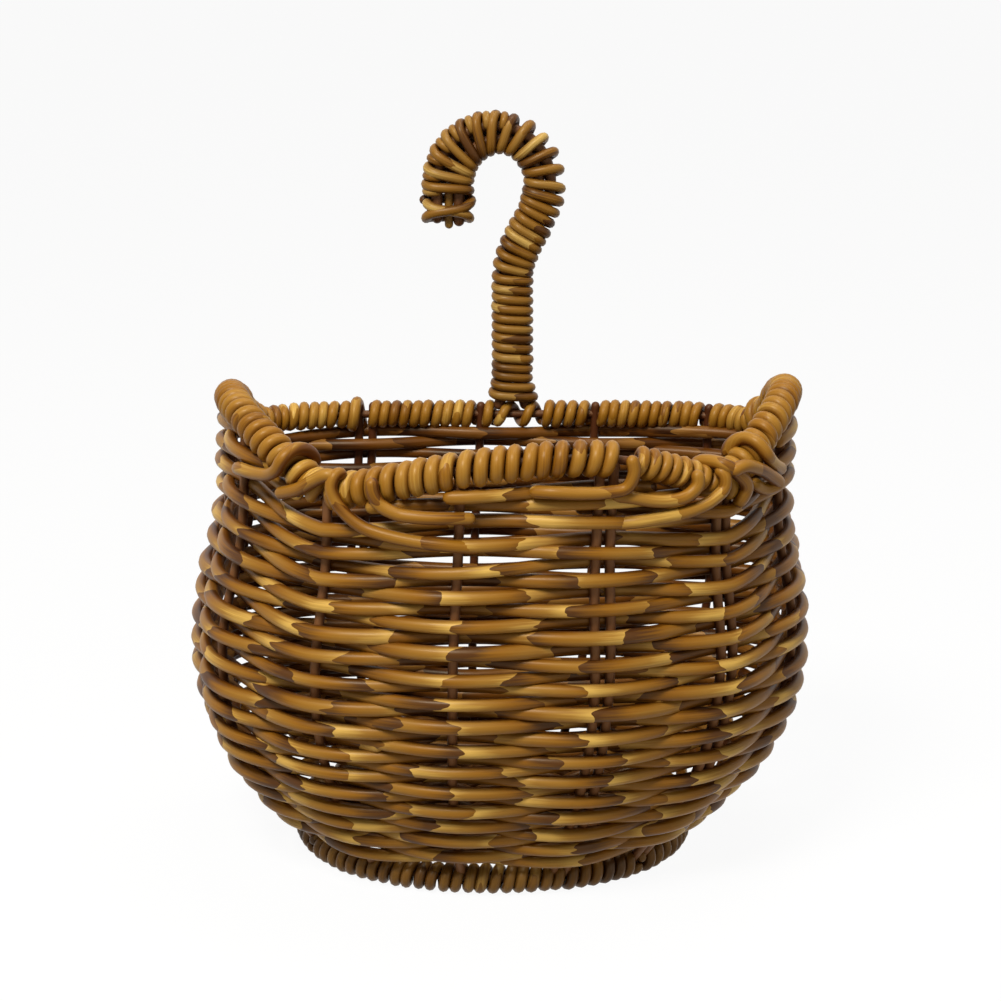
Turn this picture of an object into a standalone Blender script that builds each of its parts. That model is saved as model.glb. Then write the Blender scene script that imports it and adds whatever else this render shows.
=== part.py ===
"""Rattan wall basket: a D-shaped wicker bowl with a wound, wavy rim, a wound foot ring and a wound hook.

Run it with: blender --background --python part.py

Metres, +Z up. +X is to the right of someone who faces the basket, and its flat back is towards +Y.
The basket stands on its foot ring, and the origin is on the floor, below the middle of its box.
"""

import math

import bpy
import bmesh
import numpy as np

# Clearances: pieces that touch keep SEAT between them.
SEAT = 0.0003
END_SEAT = 0.0007
ROW_SLACK = 0.0005
TURN_SLACK = 0.0014

# Canes and rods, by radius.
STAKE_RADIUS = 0.0022
WEAVER_RADIUS = 0.0029
RIM_ROD_RADIUS = 0.0022
RIM_WRAP_RADIUS = 0.0029
FOOT_ROD_RADIUS = 0.0022
FOOT_WRAP_RADIUS = 0.0028
HOOK_ROD_RADIUS = 0.0029
HOOK_WRAP_RADIUS = 0.0023
BASE_STICK_RADIUS = 0.0025
BASE_WEAVER_RADIUS = 0.0028

# The wall's plan at five heights, from the foot ring up to the highest point of the rim.
WALL_HEIGHT = 0.235
SECTION_HEIGHT_SHARES = (0.0, 0.25, 0.5, 0.75, 1.0)
FOOT_HALF_WIDTH, LOWER_HALF_WIDTH, BELLY_HALF_WIDTH = 0.096, 0.1395, 0.149
NECK_HALF_WIDTH, LIP_HALF_WIDTH = 0.1375, 0.1355
FOOT_DEPTH, LOWER_DEPTH, BELLY_DEPTH = 0.137, 0.168, 0.186
NECK_DEPTH, LIP_DEPTH = 0.188, 0.192
FOOT_WIDEST, LOWER_WIDEST, BELLY_WIDEST = 0.060, 0.068, 0.073
NECK_WIDEST, LIP_WIDEST = 0.074, 0.073
FOOT_SHIFT, LIP_SHIFT = -0.006, 0.0015
FRONT_POWER = 2.2
BACK_POWER = 5.0

# The rim's wave: how far each station stands above the straight back, at its share of the way round.
# The way round starts at the middle of the back and runs to the right, the front and the left.
BACK_RIM_DROP = 0.032
RIGHT_HUMP_RISE = 0.034
LEFT_HUMP_RISE = 0.032
FRONT_CREST_RISE = 0.0255
DIP_RISE = 0.004
BACK_RIGHT_SHARE, RIGHT_HUMP_SHARE, FRONT_CREST_SHARE = 0.168, 0.277, 0.460
LEFT_HUMP_SHARE, BACK_LEFT_SHARE = 0.716, 0.832
RIGHT_DIP_STAKE, LEFT_DIP_STAKE = 4, 7

# Weave.
STAKES = 13
FIRST_STAKE_SHARE = 0.060
STAKE_LEVELS = 7
PASS_HALF_LENGTH = 0.0095
WEAVERS = 16
WAVE_POWER = 4
WAVE_SHARE = 0.5
RIM_SAMPLES = 400
SLOPE_STEP_SHARE = 0.002
FRAME_STEP_SHARE = 0.004

# Windings: each loop is a polygon of cane round its rod.
LOOP_POINTS = 6
RIM_LOOP_PITCH = 0.0090
FOOT_LOOP_PITCH = 0.0092
ROD_POINTS_PER_STAKE = 4
FLOOR_CUT_SHARE = 0.1

# Hook: a shaft of two rods side by side that bends over to the left.
HOOK_CENTRE = 0.004
HOOK_SHAFT_HEIGHT = 0.070
HOOK_SWAY = 0.0165
HOOK_SWAY_HEIGHT = 0.0492
HOOK_ARCH_RADIUS = 0.0262
HOOK_ARCH_DEGREES = 180.0
HOOK_TIP_LENGTH = 0.0215
HOOK_FOOT_SPREAD = 0.0075
HOOK_SPREAD_HEIGHT = 0.016
HOOK_SHAFT_STEPS = 2
HOOK_SWAY_STEPS = 6
HOOK_ARCH_STEPS = 12
HOOK_FOOT_RANGE_SHARES = (0.8, 1.05)
HOOK_FOOT_SAMPLES = 800

# Base: the outer sticks stand at a share of the room between the middle and the weave's edge.
BASE_STICKS = 5
BASE_SPREAD_SHARE = 0.70
BASE_ROW_SLACK = 0.0028
BASE_EDGE_GAP = 0.010
BASE_NEAR_SHARE = 0.02

# Facets. A mitre is never stretched past one over its share, and edges over the sharp angle stay sharp.
CANE_SIDES = 5
ROD_SIDES = 5
WRAP_SIDES = 4
SECTION_POINTS = 720
LEAST_MITRE_SHARE = 0.5
SHARP_DEGREES = 75.0
STEEP_SHARE = 0.9
STRAIGHT_SHARE = 1e-9
CUT_TOLERANCE_SHARE = 0.01
GAP_PLACE_SHARES = (0.0, 0.25, 0.5, 0.75)

HONEY_CANE = ("honey_cane", (0.46, 0.25, 0.06, 1.0), 0.38)
RIM_CANE = ("rim_cane", (0.52, 0.28, 0.07, 1.0), 0.34)
HOOK_CANE = ("hook_cane", (0.40, 0.21, 0.05, 1.0), 0.36)
FOOT_CANE = ("foot_cane", (0.34, 0.18, 0.05, 1.0), 0.42)
STAKE_CANE = ("brown_stake", (0.16, 0.07, 0.03, 1.0), 0.45)


def clear_scene():
    """Remove whatever the scene starts with."""
    for item in list(bpy.data.objects):
        bpy.data.objects.remove(item, do_unlink=True)


def material(finish):
    """The finish as a material, made once."""
    name, colour, roughness = finish
    found = bpy.data.materials.get(name)
    if found:
        return found
    made = bpy.data.materials.new(name)
    made.use_nodes = True
    shader = made.node_tree.nodes["Principled BSDF"]
    shader.inputs["Base Color"].default_value = colour
    shader.inputs["Roughness"].default_value = roughness
    shader.inputs["Metallic"].default_value = 0.0
    return made


def unit(vectors):
    """Vectors scaled to length one, along the last axis."""
    vectors = np.asarray(vectors, dtype=float)
    return vectors / np.linalg.norm(vectors, axis=-1, keepdims=True)


def smooth_between(position, stations, values):
    """A smooth curve through the values at the stations, read at the position."""
    stations = np.asarray(stations, dtype=float)
    values = np.asarray(values, dtype=float)
    slopes = np.gradient(values, stations)
    place = np.searchsorted(stations, position, side="right") - 1
    place = int(min(max(place, 0), len(stations) - 2))
    span = stations[place + 1] - stations[place]
    part = min(max((position - stations[place]) / span, 0.0), 1.0)
    start = (1 + 2 * part) * (1 - part) ** 2 * values[place]
    leave = part * (1 - part) ** 2 * span * slopes[place]
    end = part**2 * (3 - 2 * part) * values[place + 1]
    arrive = part**2 * (part - 1) * span * slopes[place + 1]
    return float(start + leave + end + arrive)


def foot_rod_height():
    """Height of the foot rod's centre: the wraps round it stand on the floor, cut flat there."""
    reach = loop_radius(FOOT_ROD_RADIUS, FOOT_WRAP_RADIUS) * math.cos(math.pi / LOOP_POINTS)
    return reach + FOOT_WRAP_RADIUS * (1 - 2 * FLOOR_CUT_SHARE)


def loop_radius(rod_radius, wrap_radius):
    """Radius of a polygon loop's corners that keeps its sides clear of the rod."""
    return (rod_radius + SEAT + wrap_radius) / math.cos(math.pi / LOOP_POINTS)


def section_plan(height):
    """The wall's plan at a height: points round it and the share of the way round of each."""
    share = (height - foot_rod_height()) / WALL_HEIGHT
    widths = (FOOT_HALF_WIDTH, LOWER_HALF_WIDTH, BELLY_HALF_WIDTH, NECK_HALF_WIDTH, LIP_HALF_WIDTH)
    depths = (FOOT_DEPTH, LOWER_DEPTH, BELLY_DEPTH, NECK_DEPTH, LIP_DEPTH)
    widest_lines = (FOOT_WIDEST, LOWER_WIDEST, BELLY_WIDEST, NECK_WIDEST, LIP_WIDEST)
    half_width = smooth_between(share, SECTION_HEIGHT_SHARES, widths)
    depth = smooth_between(share, SECTION_HEIGHT_SHARES, depths)
    widest = smooth_between(share, SECTION_HEIGHT_SHARES, widest_lines)
    shift = FOOT_SHIFT + share * (LIP_SHIFT - FOOT_SHIFT)
    turn = np.linspace(math.pi / 2, -1.5 * math.pi, SECTION_POINTS + 1)
    across, along = np.cos(turn), np.sin(turn)
    power = np.where(along >= 0, BACK_POWER, FRONT_POWER)
    reach = np.where(along >= 0, widest, depth - widest)
    x = shift + half_width * np.sign(across) * np.abs(across) ** (2 / power)
    y = -widest + reach * np.sign(along) * np.abs(along) ** (2 / power)
    steps = np.hypot(np.diff(x), np.diff(y))
    run = np.concatenate(([0.0], np.cumsum(steps)))
    return x, y, run


def wall_point(height, share):
    """The point of the wall's middle surface at a height and a share of the way round."""
    x, y, run = section_plan(height)
    target = (share % 1.0) * run[-1]
    return np.array([np.interp(target, run, x), np.interp(target, run, y), height])


def wall_frame(height, share):
    """Point, way round, way up and way out of the wall's middle surface."""
    step = FRAME_STEP_SHARE
    point = wall_point(height, share)
    forward = unit(wall_point(height, share + step) - wall_point(height, share - step))
    rise = step * WALL_HEIGHT
    upward = unit(wall_point(height + rise, share) - wall_point(height - rise, share))
    outward = unit(np.cross(upward, forward))
    return point, forward, upward, outward


def rim_height(share):
    """Height of the rim rod's centre at a share of the way round."""
    right_dip, left_dip = stake_share(RIGHT_DIP_STAKE), stake_share(LEFT_DIP_STAKE)
    stations = (0, BACK_RIGHT_SHARE, RIGHT_HUMP_SHARE, right_dip, FRONT_CREST_SHARE)
    stations += (left_dip, LEFT_HUMP_SHARE, BACK_LEFT_SHARE, 1)
    rises = (0, 0, RIGHT_HUMP_RISE, DIP_RISE, FRONT_CREST_RISE, DIP_RISE, LEFT_HUMP_RISE, 0, 0)
    share = share % 1.0
    place = int(np.searchsorted(stations, share, side="right")) - 1
    part = (share - stations[place]) / (stations[place + 1] - stations[place])
    if rises[place] > rises[place + 1]:
        blend = 1 - math.cos(math.pi / 2 * part)
    else:
        blend = math.sin(math.pi / 2 * part)
    rise = rises[place] * (1 - blend) + rises[place + 1] * blend
    return foot_rod_height() + WALL_HEIGHT - BACK_RIM_DROP + rise


def stake_share(number):
    """Share of the way round at which a stake stands, the same at every height."""
    return FIRST_STAKE_SHARE + number / STAKES


class Ring:
    """A closed rod that follows the wall at a height that may change on its way round."""

    def __init__(self, height_at):
        self.shares = np.arange(STAKES * ROD_POINTS_PER_STAKE + 1) / (STAKES * ROD_POINTS_PER_STAKE)
        self.shares = self.shares + FIRST_STAKE_SHARE
        self.points = np.array([wall_point(height_at(share), share) for share in self.shares])
        self.height_at = height_at
        gaps = np.linalg.norm(np.diff(self.points, axis=0), axis=1)
        self.run = np.concatenate(([0.0], np.cumsum(gaps)))
        self.length = self.run[-1]

    def run_of(self, share):
        """Distance along the rod of a share of the way round, past the first stake."""
        return float(np.interp((share - FIRST_STAKE_SHARE) % 1.0 + FIRST_STAKE_SHARE, self.shares, self.run))

    def frame(self, run):
        """Point, way along, way up and way out at a distance along the rod."""
        run = run % self.length
        point = np.array([np.interp(run, self.run, self.points[:, axis]) for axis in range(3)])
        share = float(np.interp(run, self.run, self.shares))
        later, earlier = share + FRAME_STEP_SHARE, share - FRAME_STEP_SHARE
        forward = unit(wall_point(self.height_at(later), later) - wall_point(self.height_at(earlier), earlier))
        _, _, upward, _ = wall_frame(point[2], share)
        outward = unit(np.cross(upward, forward))
        upward = unit(np.cross(forward, outward))
        return point, forward, upward, outward


def sweep(name, points, radius, sides, finish, corner_ways=None, closed=False):
    """A tube of straight runs through the points, mitred at each, with its corners turned to corner_ways."""
    points = np.asarray(points, dtype=float)
    count = len(points)
    ahead = np.roll(points, -1, axis=0) - points
    behind = points - np.roll(points, 1, axis=0)
    if not closed:
        ahead[-1] = behind[-1]
        behind[0] = ahead[0]
    ahead, behind = unit(ahead), unit(behind)
    along = unit(ahead + behind)
    first = first_ways(along) if corner_ways is None else np.asarray(corner_ways, dtype=float)
    first = unit(first - np.sum(first * along, axis=1, keepdims=True) * along)
    second = np.cross(along, first)
    turn = np.arange(sides) * 2 * math.pi / sides
    rings = radius * (np.cos(turn)[:, None, None] * first + np.sin(turn)[:, None, None] * second)
    bend = ahead - behind
    size = np.linalg.norm(bend, axis=1, keepdims=True)
    bend = np.where(size > STRAIGHT_SHARE, bend / np.maximum(size, STRAIGHT_SHARE), 0.0)
    stretch = 1 / np.maximum(np.sum(along * ahead, axis=1, keepdims=True), LEAST_MITRE_SHARE) - 1
    rings = rings + np.sum(rings * bend, axis=2, keepdims=True) * stretch * bend
    corners = (points + rings).transpose(1, 0, 2).reshape(-1, 3)
    faces = []
    for step in range(count if closed else count - 1):
        here, there = step * sides, (step + 1) % count * sides
        for side in range(sides):
            beside = (side + 1) % sides
            faces.append((here + side, here + beside, there + beside, there + side))
    if not closed:
        faces.append(tuple(reversed(range(sides))))
        faces.append(tuple(range((count - 1) * sides, count * sides)))
    mesh = bpy.data.meshes.new(name)
    mesh.from_pydata([tuple(corner) for corner in corners], [], faces)
    body = bmesh.new()
    body.from_mesh(mesh)
    bmesh.ops.recalc_face_normals(body, faces=body.faces)
    body.to_mesh(mesh)
    body.free()
    mesh.shade_smooth()
    mesh.set_sharp_from_angle(angle=math.radians(SHARP_DEGREES))
    mesh.materials.append(material(finish))
    piece = bpy.data.objects.new(name, mesh)
    bpy.context.scene.collection.objects.link(piece)
    return piece


def first_ways(along):
    """A way across the tube at each point, carried along with no twist from the first."""
    way = np.array([0.0, 0.0, 1.0]) if abs(along[0][2]) < STEEP_SHARE else np.array([0.0, 1.0, 0.0])
    ways = []
    for tangent in along:
        way = unit(way - np.dot(way, tangent) * tangent)
        ways.append(way)
    return np.array(ways)


def make_rod(name, ring, radius, finish):
    """The closed rod of a ring, with a corner of its section upward."""
    points = ring.points[:-1]
    upward = [ring.frame(run)[2] for run in ring.run[:-1]]
    return sweep(name, points, radius, ROD_SIDES, finish, corner_ways=upward, closed=True)


def stake_points(number, foot, rim):
    """Points up a stake, from the foot rod to the rim rod, which it meets squarely."""
    share = stake_share(number)
    low = foot_rod_height()
    rim_point, _, rim_up, _ = rim.frame(rim.run_of(share))
    wrap_reach = loop_radius(RIM_ROD_RADIUS, RIM_WRAP_RADIUS) + RIM_WRAP_RADIUS + SEAT
    foot_point, _, foot_up, _ = foot.frame(foot.run_of(share))
    start = foot_point + foot_up * (FOOT_ROD_RADIUS + END_SEAT)
    knee = foot_point + foot_up * (loop_radius(FOOT_ROD_RADIUS, FOOT_WRAP_RADIUS) + FOOT_WRAP_RADIUS)
    shoulder = rim_point - rim_up * wrap_reach
    end = rim_point - rim_up * (RIM_ROD_RADIUS + END_SEAT)
    top = shoulder[2] - wrap_reach
    heights = np.linspace(low, top, STAKE_LEVELS + 1)[1:]
    middle = [wall_point(height, share) for height in heights]
    return np.array([start, knee] + middle + [shoulder, end])


def make_stakes(lines):
    """The upright stakes that the weavers pass."""
    for number, points in enumerate(lines):
        sweep(f"stake_{number + 1:02d}", points, STAKE_RADIUS, ROD_SIDES, STAKE_CANE)


def on_stake(points, height):
    """The point of a stake's line at a height."""
    return np.array([np.interp(height, points[:, 2], points[:, axis]) for axis in range(3)])


def weave_limits(rim):
    """Height of the first row, the lowest top row and a function for the top row's height."""
    foot_reach = loop_radius(FOOT_ROD_RADIUS, FOOT_WRAP_RADIUS) + FOOT_WRAP_RADIUS
    rim_reach = loop_radius(RIM_ROD_RADIUS, RIM_WRAP_RADIUS) + RIM_WRAP_RADIUS
    first = foot_rod_height() + foot_reach + WEAVER_RADIUS + SEAT

    def top(share):
        rise = rim_height(share + SLOPE_STEP_SHARE) - rim_height(share - SLOPE_STEP_SHARE)
        slope = rise / (2 * SLOPE_STEP_SHARE * rim.length)
        return rim_height(share) - (rim_reach + WEAVER_RADIUS + ROW_SLACK) * math.hypot(1, slope)

    lowest = min(top(share) for share in np.linspace(0, 1, RIM_SAMPLES + 1))
    return first, lowest, top


def row_count(first, lowest):
    """Whole turns of weaving that fit between the foot ring and the rim."""
    return int((lowest - first) / (2 * WEAVER_RADIUS + ROW_SLACK))


def weave_passes(lines, rim):
    """Where a rising spiral of cane passes each stake, outside one and inside the next, and its way there."""
    first, lowest, top = weave_limits(rim)
    count = row_count(first, lowest) * STAKES
    offset = STAKE_RADIUS + SEAT + WEAVER_RADIUS
    passes = []
    for index in range(count + 1):
        part = index / count
        share = stake_share(index)
        height = first + part * (lowest - first) + WAVE_SHARE * part**WAVE_POWER * (top(share) - lowest)
        _, forward, _, outward = wall_frame(height, share)
        level = math.hypot(outward[0], outward[1])
        outward = np.array([outward[0], outward[1], 0.0]) / level
        side = 1 if index % 2 else -1
        centre = on_stake(lines[index % STAKES], height) + side * offset / level * outward
        passes.append((centre, forward))
    return passes


def make_weavers(lines, rim):
    """The spiral in lengths of cane that meet end to end behind a stake."""
    passes = weave_passes(lines, rim)
    count = len(passes) - 1
    cuts = [2 * int(count * number / WEAVERS / 2) for number in range(WEAVERS + 1)]
    for number, (start, stop) in enumerate(zip(cuts, cuts[1:])):
        (begin, onward), (end, arriving) = passes[start], passes[stop]
        points = [begin + onward * SEAT, begin + onward * PASS_HALF_LENGTH]
        for centre, forward in passes[start + 1 : stop]:
            points += [centre - forward * PASS_HALF_LENGTH, centre + forward * PASS_HALF_LENGTH]
        points += [end - arriving * PASS_HALF_LENGTH, end - arriving * SEAT]
        sweep(f"weaver_{number + 1:02d}", points, WEAVER_RADIUS, CANE_SIDES, HONEY_CANE)


def turns_between(items, pitch):
    """Turn numbers and distances of a winding that passes each item on its far side.

    An item is a distance, a half width to keep free and a side: -1 below the rod, 1 above it.
    The winding is on the other side of the rod there, which is half a turn away between unlike items.
    """
    turns, runs = [0.0], [items[0][0]]
    for (run_a, half_a, side_a), (run_b, half_b, side_b) in zip(items, items[1:]):
        free = (run_b - half_b) - (run_a + half_a)
        odd = 0.5 if side_a != side_b else 0.0
        count = math.floor(free / pitch - odd) + odd
        if count > 0:
            turns += [turns[-1] + 0.5, turns[-1] + 0.5 + count]
            runs += [run_a + half_a, run_b - half_b]
            turns.append(turns[-1] + 0.5)
        elif odd:
            turns.append(turns[-1] + 0.5)
        else:
            turns += [turns[-1] + 0.5, turns[-1] + 1]
            runs.append((run_a + run_b) / 2)
        runs.append(run_b)
    return np.array(turns), np.array(runs)


def wind(name, ring, items, pitch, rod_radius, wrap_radius, finish):
    """A cane wound round a ring's rod from the first item to the last, as one unbroken tube."""
    turns, runs = turns_between(items, pitch)
    radius = loop_radius(rod_radius, wrap_radius)
    total = int(round(turns[-1] * LOOP_POINTS))
    opposite = -items[0][2]
    points, ways = [], []
    for corner in range(1, total - 1):
        turn = (corner + 0.5) / LOOP_POINTS
        point, _, upward, outward = ring.frame(float(np.interp(turn, turns, runs)))
        angle = 2 * math.pi * turn
        way = opposite * math.cos(angle) * upward + math.sin(angle) * outward
        points.append(point + way * radius)
        ways.append(way)
    print(f"{name}: {turns[-1]:.1f} loops, least gap {least_gap(points, wrap_radius) * 1000:.2f} mm")
    return sweep(name, points, wrap_radius, WRAP_SIDES, finish, corner_ways=ways)


def least_gap(points, radius):
    """Least clear distance between parts of a wound tube that are half a loop or more apart."""
    points = np.asarray(points)
    fine = []
    for start, end in zip(points, points[1:]):
        fine += [start + (end - start) * part for part in GAP_PLACE_SHARES]
    fine = np.array(fine)
    reach = len(GAP_PLACE_SHARES) * LOOP_POINTS // 2
    least = math.inf
    for shift in range(reach, 3 * reach):
        if shift < len(fine):
            least = min(least, np.linalg.norm(fine[shift:] - fine[:-shift], axis=1).min())
    return float(least) - 2 * radius


def stake_items(ring, numbers, side, wrap_radius):
    """The stakes that a winding passes, as items for turns_between."""
    half = STAKE_RADIUS + wrap_radius + 3 * SEAT
    items = []
    for number in numbers:
        run = ring.run_of(stake_share(number))
        if items and run < items[-1][0]:
            run += ring.length
        items.append((run, half, side))
    return items


def hook_items(rim):
    """The two hook rods, which stand on the rim rod between two stakes."""
    half = HOOK_ROD_RADIUS + RIM_WRAP_RADIUS + SEAT
    runs = np.linspace(*HOOK_FOOT_RANGE_SHARES, HOOK_FOOT_SAMPLES) * rim.length
    places = [(run, rim.frame(run)[0]) for run in runs]
    items = []
    for side in (-1, 1):
        x = HOOK_CENTRE + side * HOOK_FOOT_SPREAD
        back = [(abs(point[0] - x), run) for run, point in places if point[1] > -LIP_WIDEST]
        items.append((min(back)[1], half, 1))
    return items


def make_rim(rim):
    """The rim rod and the canes wound round it. The one behind also passes the hook's two rods."""
    make_rod("rim_rod", rim, RIM_ROD_RADIUS, STAKE_CANE)
    groups = (
        ("rim_winding_back_right", (0, 1, 2)),
        ("rim_winding_right", (2, 3, 4)),
        ("rim_winding_front_right", (4, 5, 6)),
        ("rim_winding_front_left", (6, 7, 8)),
        ("rim_winding_left", (8, 9, 10)),
        ("rim_winding_back_left", (10, 11, 12)),
    )
    for name, numbers in groups:
        items = stake_items(rim, numbers, -1, RIM_WRAP_RADIUS)
        wind(name, rim, items, RIM_LOOP_PITCH, RIM_ROD_RADIUS, RIM_WRAP_RADIUS, RIM_CANE)
    last, first = stake_items(rim, (12, 13), -1, RIM_WRAP_RADIUS)
    items = [last, *hook_items(rim), first]
    wind("rim_winding_back", rim, items, RIM_LOOP_PITCH, RIM_ROD_RADIUS, RIM_WRAP_RADIUS, RIM_CANE)


def make_foot(foot):
    """The foot rod and the three canes wound round it, cut flat where they stand."""
    make_rod("foot_rod", foot, FOOT_ROD_RADIUS, STAKE_CANE)
    groups = (
        ("foot_winding_right", (0, 1, 2, 3, 4)),
        ("foot_winding_front", (4, 5, 6, 7, 8)),
        ("foot_winding_left", (8, 9, 10, 11, 12, 13)),
    )
    for name, numbers in groups:
        items = stake_items(foot, numbers, 1, FOOT_WRAP_RADIUS)
        piece = wind(name, foot, items, FOOT_LOOP_PITCH, FOOT_ROD_RADIUS, FOOT_WRAP_RADIUS, FOOT_CANE)
        cut_at_floor(piece)


def cut_at_floor(piece):
    """Cut away what reaches below the floor, and close the cuts with flat faces."""
    body = bmesh.new()
    body.from_mesh(piece.data)
    parts = body.verts[:] + body.edges[:] + body.faces[:]
    cut = bmesh.ops.bisect_plane(
        body,
        geom=parts,
        plane_co=(0, 0, 0),
        plane_no=(0, 0, 1),
        clear_inner=True,
        dist=SEAT * CUT_TOLERANCE_SHARE,
    )
    edges = [part for part in cut["geom_cut"] if isinstance(part, bmesh.types.BMEdge)]
    bmesh.ops.holes_fill(body, edges=edges)
    bmesh.ops.recalc_face_normals(body, faces=body.faces)
    body.to_mesh(piece.data)
    body.free()


def hook_line(rim):
    """Points up the middle of the hook: a shaft that sways to the right, an arch and a straight tip."""
    base = rim.frame(hook_items(rim)[0][0])[0]
    start = np.array([HOOK_CENTRE, base[1], base[2] + RIM_ROD_RADIUS + END_SEAT])
    points = []
    for step in range(HOOK_SHAFT_STEPS):
        points.append(start + np.array([0, 0, HOOK_SHAFT_HEIGHT * step / HOOK_SHAFT_STEPS]))
    for step in range(HOOK_SWAY_STEPS):
        part = step / HOOK_SWAY_STEPS
        sway = HOOK_SWAY * (0.5 - 0.5 * math.cos(math.pi * part))
        points.append(start + np.array([sway, 0, HOOK_SHAFT_HEIGHT + HOOK_SWAY_HEIGHT * part]))
    lift = HOOK_SHAFT_HEIGHT + HOOK_SWAY_HEIGHT
    centre = start + np.array([HOOK_SWAY - HOOK_ARCH_RADIUS, 0, lift])
    for step in range(HOOK_ARCH_STEPS + 1):
        angle = math.radians(HOOK_ARCH_DEGREES) * step / HOOK_ARCH_STEPS
        points.append(centre + HOOK_ARCH_RADIUS * np.array([math.cos(angle), 0, math.sin(angle)]))
    away = np.array([-math.sin(angle), 0, math.cos(angle)])
    points.append(points[-1] + away * HOOK_TIP_LENGTH)
    points.insert(1, start + np.array([0, 0, HOOK_SPREAD_HEIGHT]))
    return np.array(points)


class HookPath:
    """The hook's middle line with its half spread of the two rods at each distance."""

    def __init__(self, rim):
        self.points = hook_line(rim)
        gaps = np.linalg.norm(np.diff(self.points, axis=0), axis=1)
        self.run = np.concatenate(([0.0], np.cumsum(gaps)))
        self.length = self.run[-1]

    def spread(self, run):
        """Half the distance between the rods' middles, wider at the hook's foot."""
        close = HOOK_ROD_RADIUS + SEAT / 2
        part = min(run / HOOK_SPREAD_HEIGHT, 1.0)
        return HOOK_FOOT_SPREAD + (close - HOOK_FOOT_SPREAD) * part

    def frame(self, run):
        """Point, way along and way to the right of someone looking along it, in the hook's plane."""
        point = np.array([np.interp(run, self.run, self.points[:, axis]) for axis in range(3)])
        step = HOOK_ROD_RADIUS
        ahead = [np.interp(run + step, self.run, self.points[:, axis]) for axis in range(3)]
        behind = [np.interp(run - step, self.run, self.points[:, axis]) for axis in range(3)]
        forward = unit(np.array(ahead) - np.array(behind))
        return point, forward, np.cross(np.array([0.0, 1.0, 0.0]), forward)

    def bend(self, run):
        """How sharply the hook bends at a distance, as one over the radius."""
        step = HOOK_ARCH_RADIUS * math.pi / HOOK_ARCH_STEPS
        ahead, behind = self.frame(run + step)[1], self.frame(run - step)[1]
        return math.acos(min(float(np.dot(ahead, behind)), 1.0)) / (2 * step)

    def loops(self, start, stop):
        """Distances of the loops from start to stop, as close as the inside of each bend lets them lie."""
        found = [start]
        wound = (HOOK_ROD_RADIUS + HOOK_WRAP_RADIUS) / math.cos(math.pi / LOOP_POINTS)
        while found[-1] < stop:
            room = 1 - self.bend(found[-1]) * (self.spread(found[-1]) + wound)
            found.append(found[-1] + (2 * HOOK_WRAP_RADIUS + TURN_SLACK) / room)
        return found[:-1]


def make_hook(rim):
    """Two rods side by side, the canes wound round both, and the tie across the tip."""
    path = HookPath(rim)
    for name, side in (("hook_rod_outer", 1), ("hook_rod_inner", -1)):
        points = []
        for run in path.run:
            point, _, right = path.frame(run)
            points.append(point + side * path.spread(run) * right)
        sweep(name, points, HOOK_ROD_RADIUS, ROD_SIDES, STAKE_CANE)
    rim_reach = loop_radius(RIM_ROD_RADIUS, RIM_WRAP_RADIUS) + RIM_WRAP_RADIUS - RIM_ROD_RADIUS
    loops = path.loops(rim_reach + HOOK_WRAP_RADIUS, path.length - 4 * HOOK_WRAP_RADIUS)
    shaft = [run for run in loops if run < HOOK_SHAFT_HEIGHT + HOOK_SWAY_HEIGHT / 2]
    wind_hook("hook_winding_shaft", path, shaft)
    wind_hook("hook_winding_crook", path, loops[len(shaft) :])
    tie_tip(path, loops[-1])


def oval_place(path, run, corner):
    """Corner of the hook's six-sided wrap, counted from the outer side to the front, and its way out."""
    point, _, right = path.frame(run)
    angle = 2 * math.pi * corner / LOOP_POINTS
    reach = HOOK_ROD_RADIUS + SEAT + HOOK_WRAP_RADIUS
    front = np.array([0.0, -1.0, 0.0])
    way = math.cos(angle) * right + math.sin(angle) * front
    side = math.copysign(1.0, math.cos(angle))
    return point + side * path.spread(run) * right + way * reach / math.cos(math.pi / LOOP_POINTS), way


def wind_hook(name, path, loops):
    """A cane wound round both hook rods, one loop from each distance to the next."""
    points, ways = [], []
    for corner in range((len(loops) - 1) * LOOP_POINTS + 1):
        run = float(np.interp(corner / LOOP_POINTS, range(len(loops)), loops))
        place, way = oval_place(path, run, corner)
        points.append(place)
        ways.append(way)
    print(f"{name}: {len(loops) - 1} loops, least gap {least_gap(points, HOOK_WRAP_RADIUS) * 1000:.2f} mm")
    sweep(name, points, HOOK_WRAP_RADIUS, WRAP_SIDES, HOOK_CANE, corner_ways=ways)


def tie_tip(path, last):
    """The cane that goes slantwise across the front of the two rod ends and back behind them."""
    low = last + 2 * HOOK_WRAP_RADIUS + TURN_SLACK
    high = path.length - HOOK_WRAP_RADIUS
    points, ways = [], []
    for run, corner in ((low, 0), (low, 1), (high, 2), (high, 3), (high, 4), (low, 5)):
        place, way = oval_place(path, run, corner)
        points.append(place)
        ways.append(way)
    sweep("hook_tip_tie", points, HOOK_WRAP_RADIUS, WRAP_SIDES, HOOK_CANE, corner_ways=ways)


def base_height():
    """Height of the base sticks' middles: they lie on the foot ring."""
    reach = loop_radius(FOOT_ROD_RADIUS, FOOT_WRAP_RADIUS) * math.cos(math.pi / LOOP_POINTS)
    return foot_rod_height() + reach + FOOT_WRAP_RADIUS + SEAT + BASE_STICK_RADIUS


def base_limits(x):
    """Front and back ends of a base stick at x, just inside the wall's lowest row."""
    xs, ys, _ = section_plan(base_height())
    reach = STAKE_RADIUS + SEAT + 2 * WEAVER_RADIUS + SEAT
    near = np.abs(xs - x) < FOOT_HALF_WIDTH * BASE_NEAR_SHARE
    return ys[near].min() + reach, ys[near].max() - reach


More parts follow.
